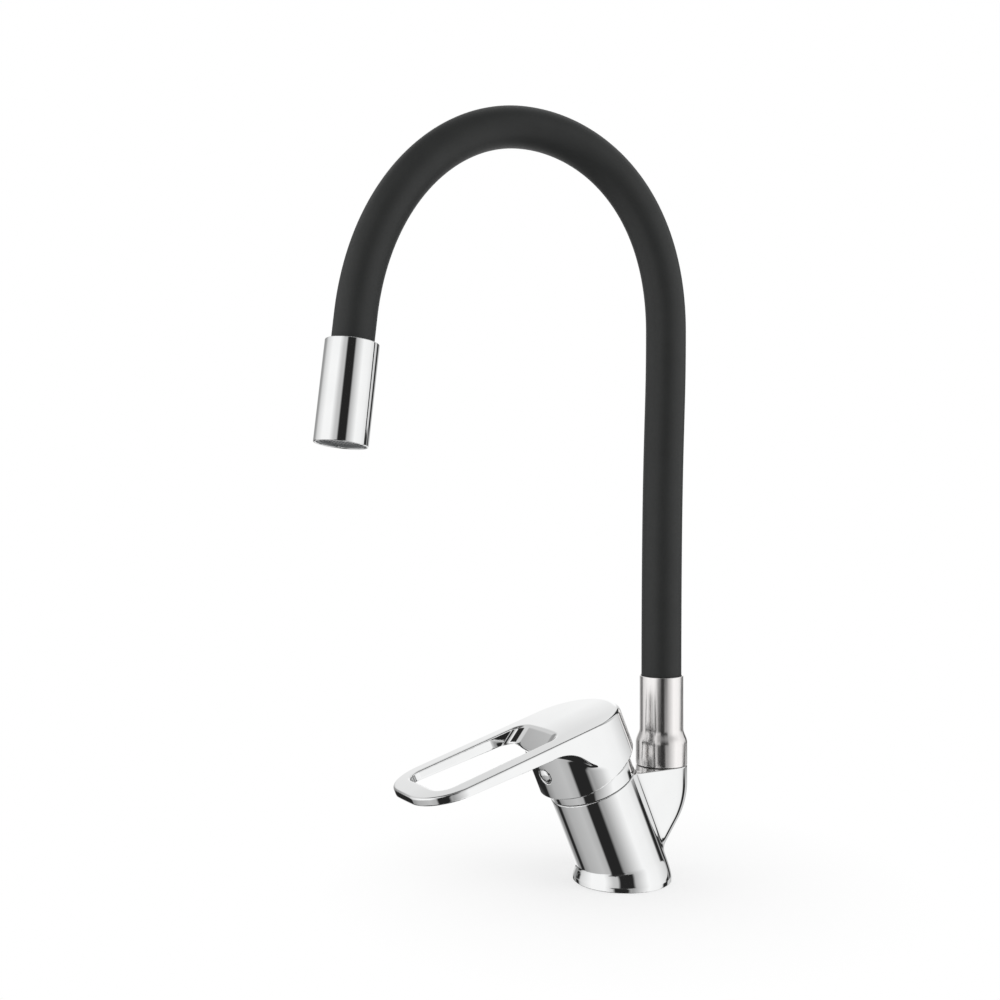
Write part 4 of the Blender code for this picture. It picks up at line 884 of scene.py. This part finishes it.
def make_world():
    """White for the camera, plain light for matt surfaces, and the room of walls and panels for metal."""
    world = bpy.data.worlds.new("studio")
    bpy.context.scene.world = world
    world.use_nodes = True
    tree = Tree(world.node_tree)
    world.node_tree.nodes.clear()
    way = tree.node("ShaderNodeTexCoord").outputs["Generated"]
    parts = tree.node("ShaderNodeSeparateXYZ", inputs={0: way})
    x, y, z = parts.outputs

    def towards(way):
        return tree.math("ADD", tree.math("MULTIPLY", x, way[0]), tree.math("MULTIPLY", y, way[1]))

    turn = tree.math("ARCTAN2", towards(CAMERA_RIGHT), towards(CAMERA_BACK))
    share = tree.math("ADD", tree.math("MULTIPLY", turn, 0.5 / math.pi), 0.5)
    height = tree.math("ADD", tree.math("MULTIPLY", z, 0.5), 0.5)

    def around(stops):
        return tree.ramp(share, [(degrees / 360 + 0.5, grey(value)) for degrees, value in stops])

    def over(factor, low, high):
        mixed = tree.node("ShaderNodeMix", data_type="RGBA")
        for value, place in ((factor, 0), (low, 6), (high, 7)):
            if hasattr(value, "is_linked"):
                tree.link(value, mixed.inputs[place])
            else:
                mixed.inputs[place].default_value = (*grey(value), 1)
        return mixed.outputs[2]

    def up(stops):
        return tree.ramp(height, [(rise / 2 + 0.5, grey(value)) for rise, value in stops])

    inside = (0, 1, 1, 0)
    room = None
    for start, full, shades in WALLS.values():
        wall = around(shades)
        room = wall if room is None else over(up(((start, 0), (full, 1))), room, wall)
    for left, right, low, high in PANELS.values():
        sides = (left - PANEL_SIDE_FADE, left, right, right + PANEL_SIDE_FADE)
        ends = (low - PANEL_END_FADE, low + PANEL_END_FADE, high - PANEL_END_FADE, high + PANEL_END_FADE)
        width, length = around(zip(sides, inside)), up(zip(ends, inside))
        room = over(tree.math("MULTIPLY", width, length), room, DARK)
    for edge, thickness, ends in SLANTED.values():
        slant = around([(degrees, rise / 2 + 0.5) for degrees, rise in edge])
        above_edge = tree.math("ADD", tree.math("SUBTRACT", height, slant), 0.5)
        top = 0.5 + thickness / 2
        rises = (0.5 - SLANTED_SOFT, 0.5 + SLANTED_SOFT, top, top + SLANTED_FADE)
        depth = tree.ramp(above_edge, [(rise, grey(value)) for rise, value in zip(rises, inside)])
        room = over(tree.math("MULTIPLY", depth, around(zip(ends, inside))), room, DARK)
    rays = tree.node("ShaderNodeLightPath")
    studio = tree.node("ShaderNodeBackground", inputs={"Color": room})
    fill = tree.node("ShaderNodeBackground", inputs={"Color": (*grey(FILL_GREY), 1)})
    white_back = tree.node("ShaderNodeBackground", inputs={"Color": (1, 1, 1, 1)})
    first = tree.node("ShaderNodeMixShader")
    tree.link(rays.outputs["Is Glossy Ray"], first.inputs[0])
    tree.link(fill.outputs[0], first.inputs[1])
    tree.link(studio.outputs[0], first.inputs[2])
    second = tree.node("ShaderNodeMixShader")
    tree.link(rays.outputs["Is Camera Ray"], second.inputs[0])
    tree.link(first.outputs[0], second.inputs[1])
    tree.link(white_back.outputs[0], second.inputs[2])
    out = tree.node("ShaderNodeOutputWorld")
    tree.link(second.outputs[0], out.inputs[0])


def make_floor():
    """A pale floor that keeps the shadow near the foot and runs out into plain white."""
    half = 6
    corners = [(-half, -half, 0), (half, -half, 0), (half, half, 0), (-half, half, 0)]
    mesh = bpy.data.meshes.new("floor")
    mesh.from_pydata(corners, [], [(0, 1, 2, 3)])
    floor = bpy.data.objects.new("floor", mesh)
    floor.location.z = -0.0002
    bpy.context.scene.collection.objects.link(floor)
    material, tree, shader, place = new_material("floor")
    shader.inputs["Base Color"].default_value = (0.92, 0.92, 0.92, 1)
    shader.inputs["Roughness"].default_value = 1
    shader.inputs["Specular IOR Level"].default_value = 0
    far = tree.node("ShaderNodeVectorMath", operation="LENGTH", inputs={0: place}).outputs["Value"]
    # Plain white for the camera from 16 cm out, and mixed with the lit floor nearer to the foot
    fade = tree.ramp(far, [(0.04, grey(0.60)), (0.16, grey(1))])
    glow = tree.node("ShaderNodeEmission", inputs={"Color": (1, 1, 1, 1)})
    rays = tree.node("ShaderNodeLightPath")
    seen = tree.math("MULTIPLY", rays.outputs["Is Camera Ray"], fade)
    mixed = tree.node("ShaderNodeMixShader")
    tree.link(seen, mixed.inputs[0])
    tree.link(shader.outputs[0], mixed.inputs[1])
    tree.link(glow.outputs[0], mixed.inputs[2])
    out = tree.tree.nodes["Material Output"]
    tree.link(mixed.outputs[0], out.inputs[0])
    mesh.materials.append(material)
    floor.visible_glossy = False


LAMP_TARGET = Vector((0, -0.03, 0.2))


def make_lamp(name, place, size, power):
    data = bpy.data.lights.new(name, "AREA")
    data.size = size
    data.energy = power
    lamp = bpy.data.objects.new(name, data)
    lamp.location = place
    lamp.rotation_euler = (LAMP_TARGET - Vector(place)).to_track_quat("-Z", "Y").to_euler()
    lamp.visible_glossy = False
    bpy.context.scene.collection.objects.link(lamp)


make_world()
make_floor()
make_lamp("key", (0.9, 0.5, 1.0), 0.9, 5.0)
make_lamp("fill", (-0.2, -1.2, 0.9), 1.2, 3.0)
bpy.context.scene.view_settings.view_transform = "Standard"
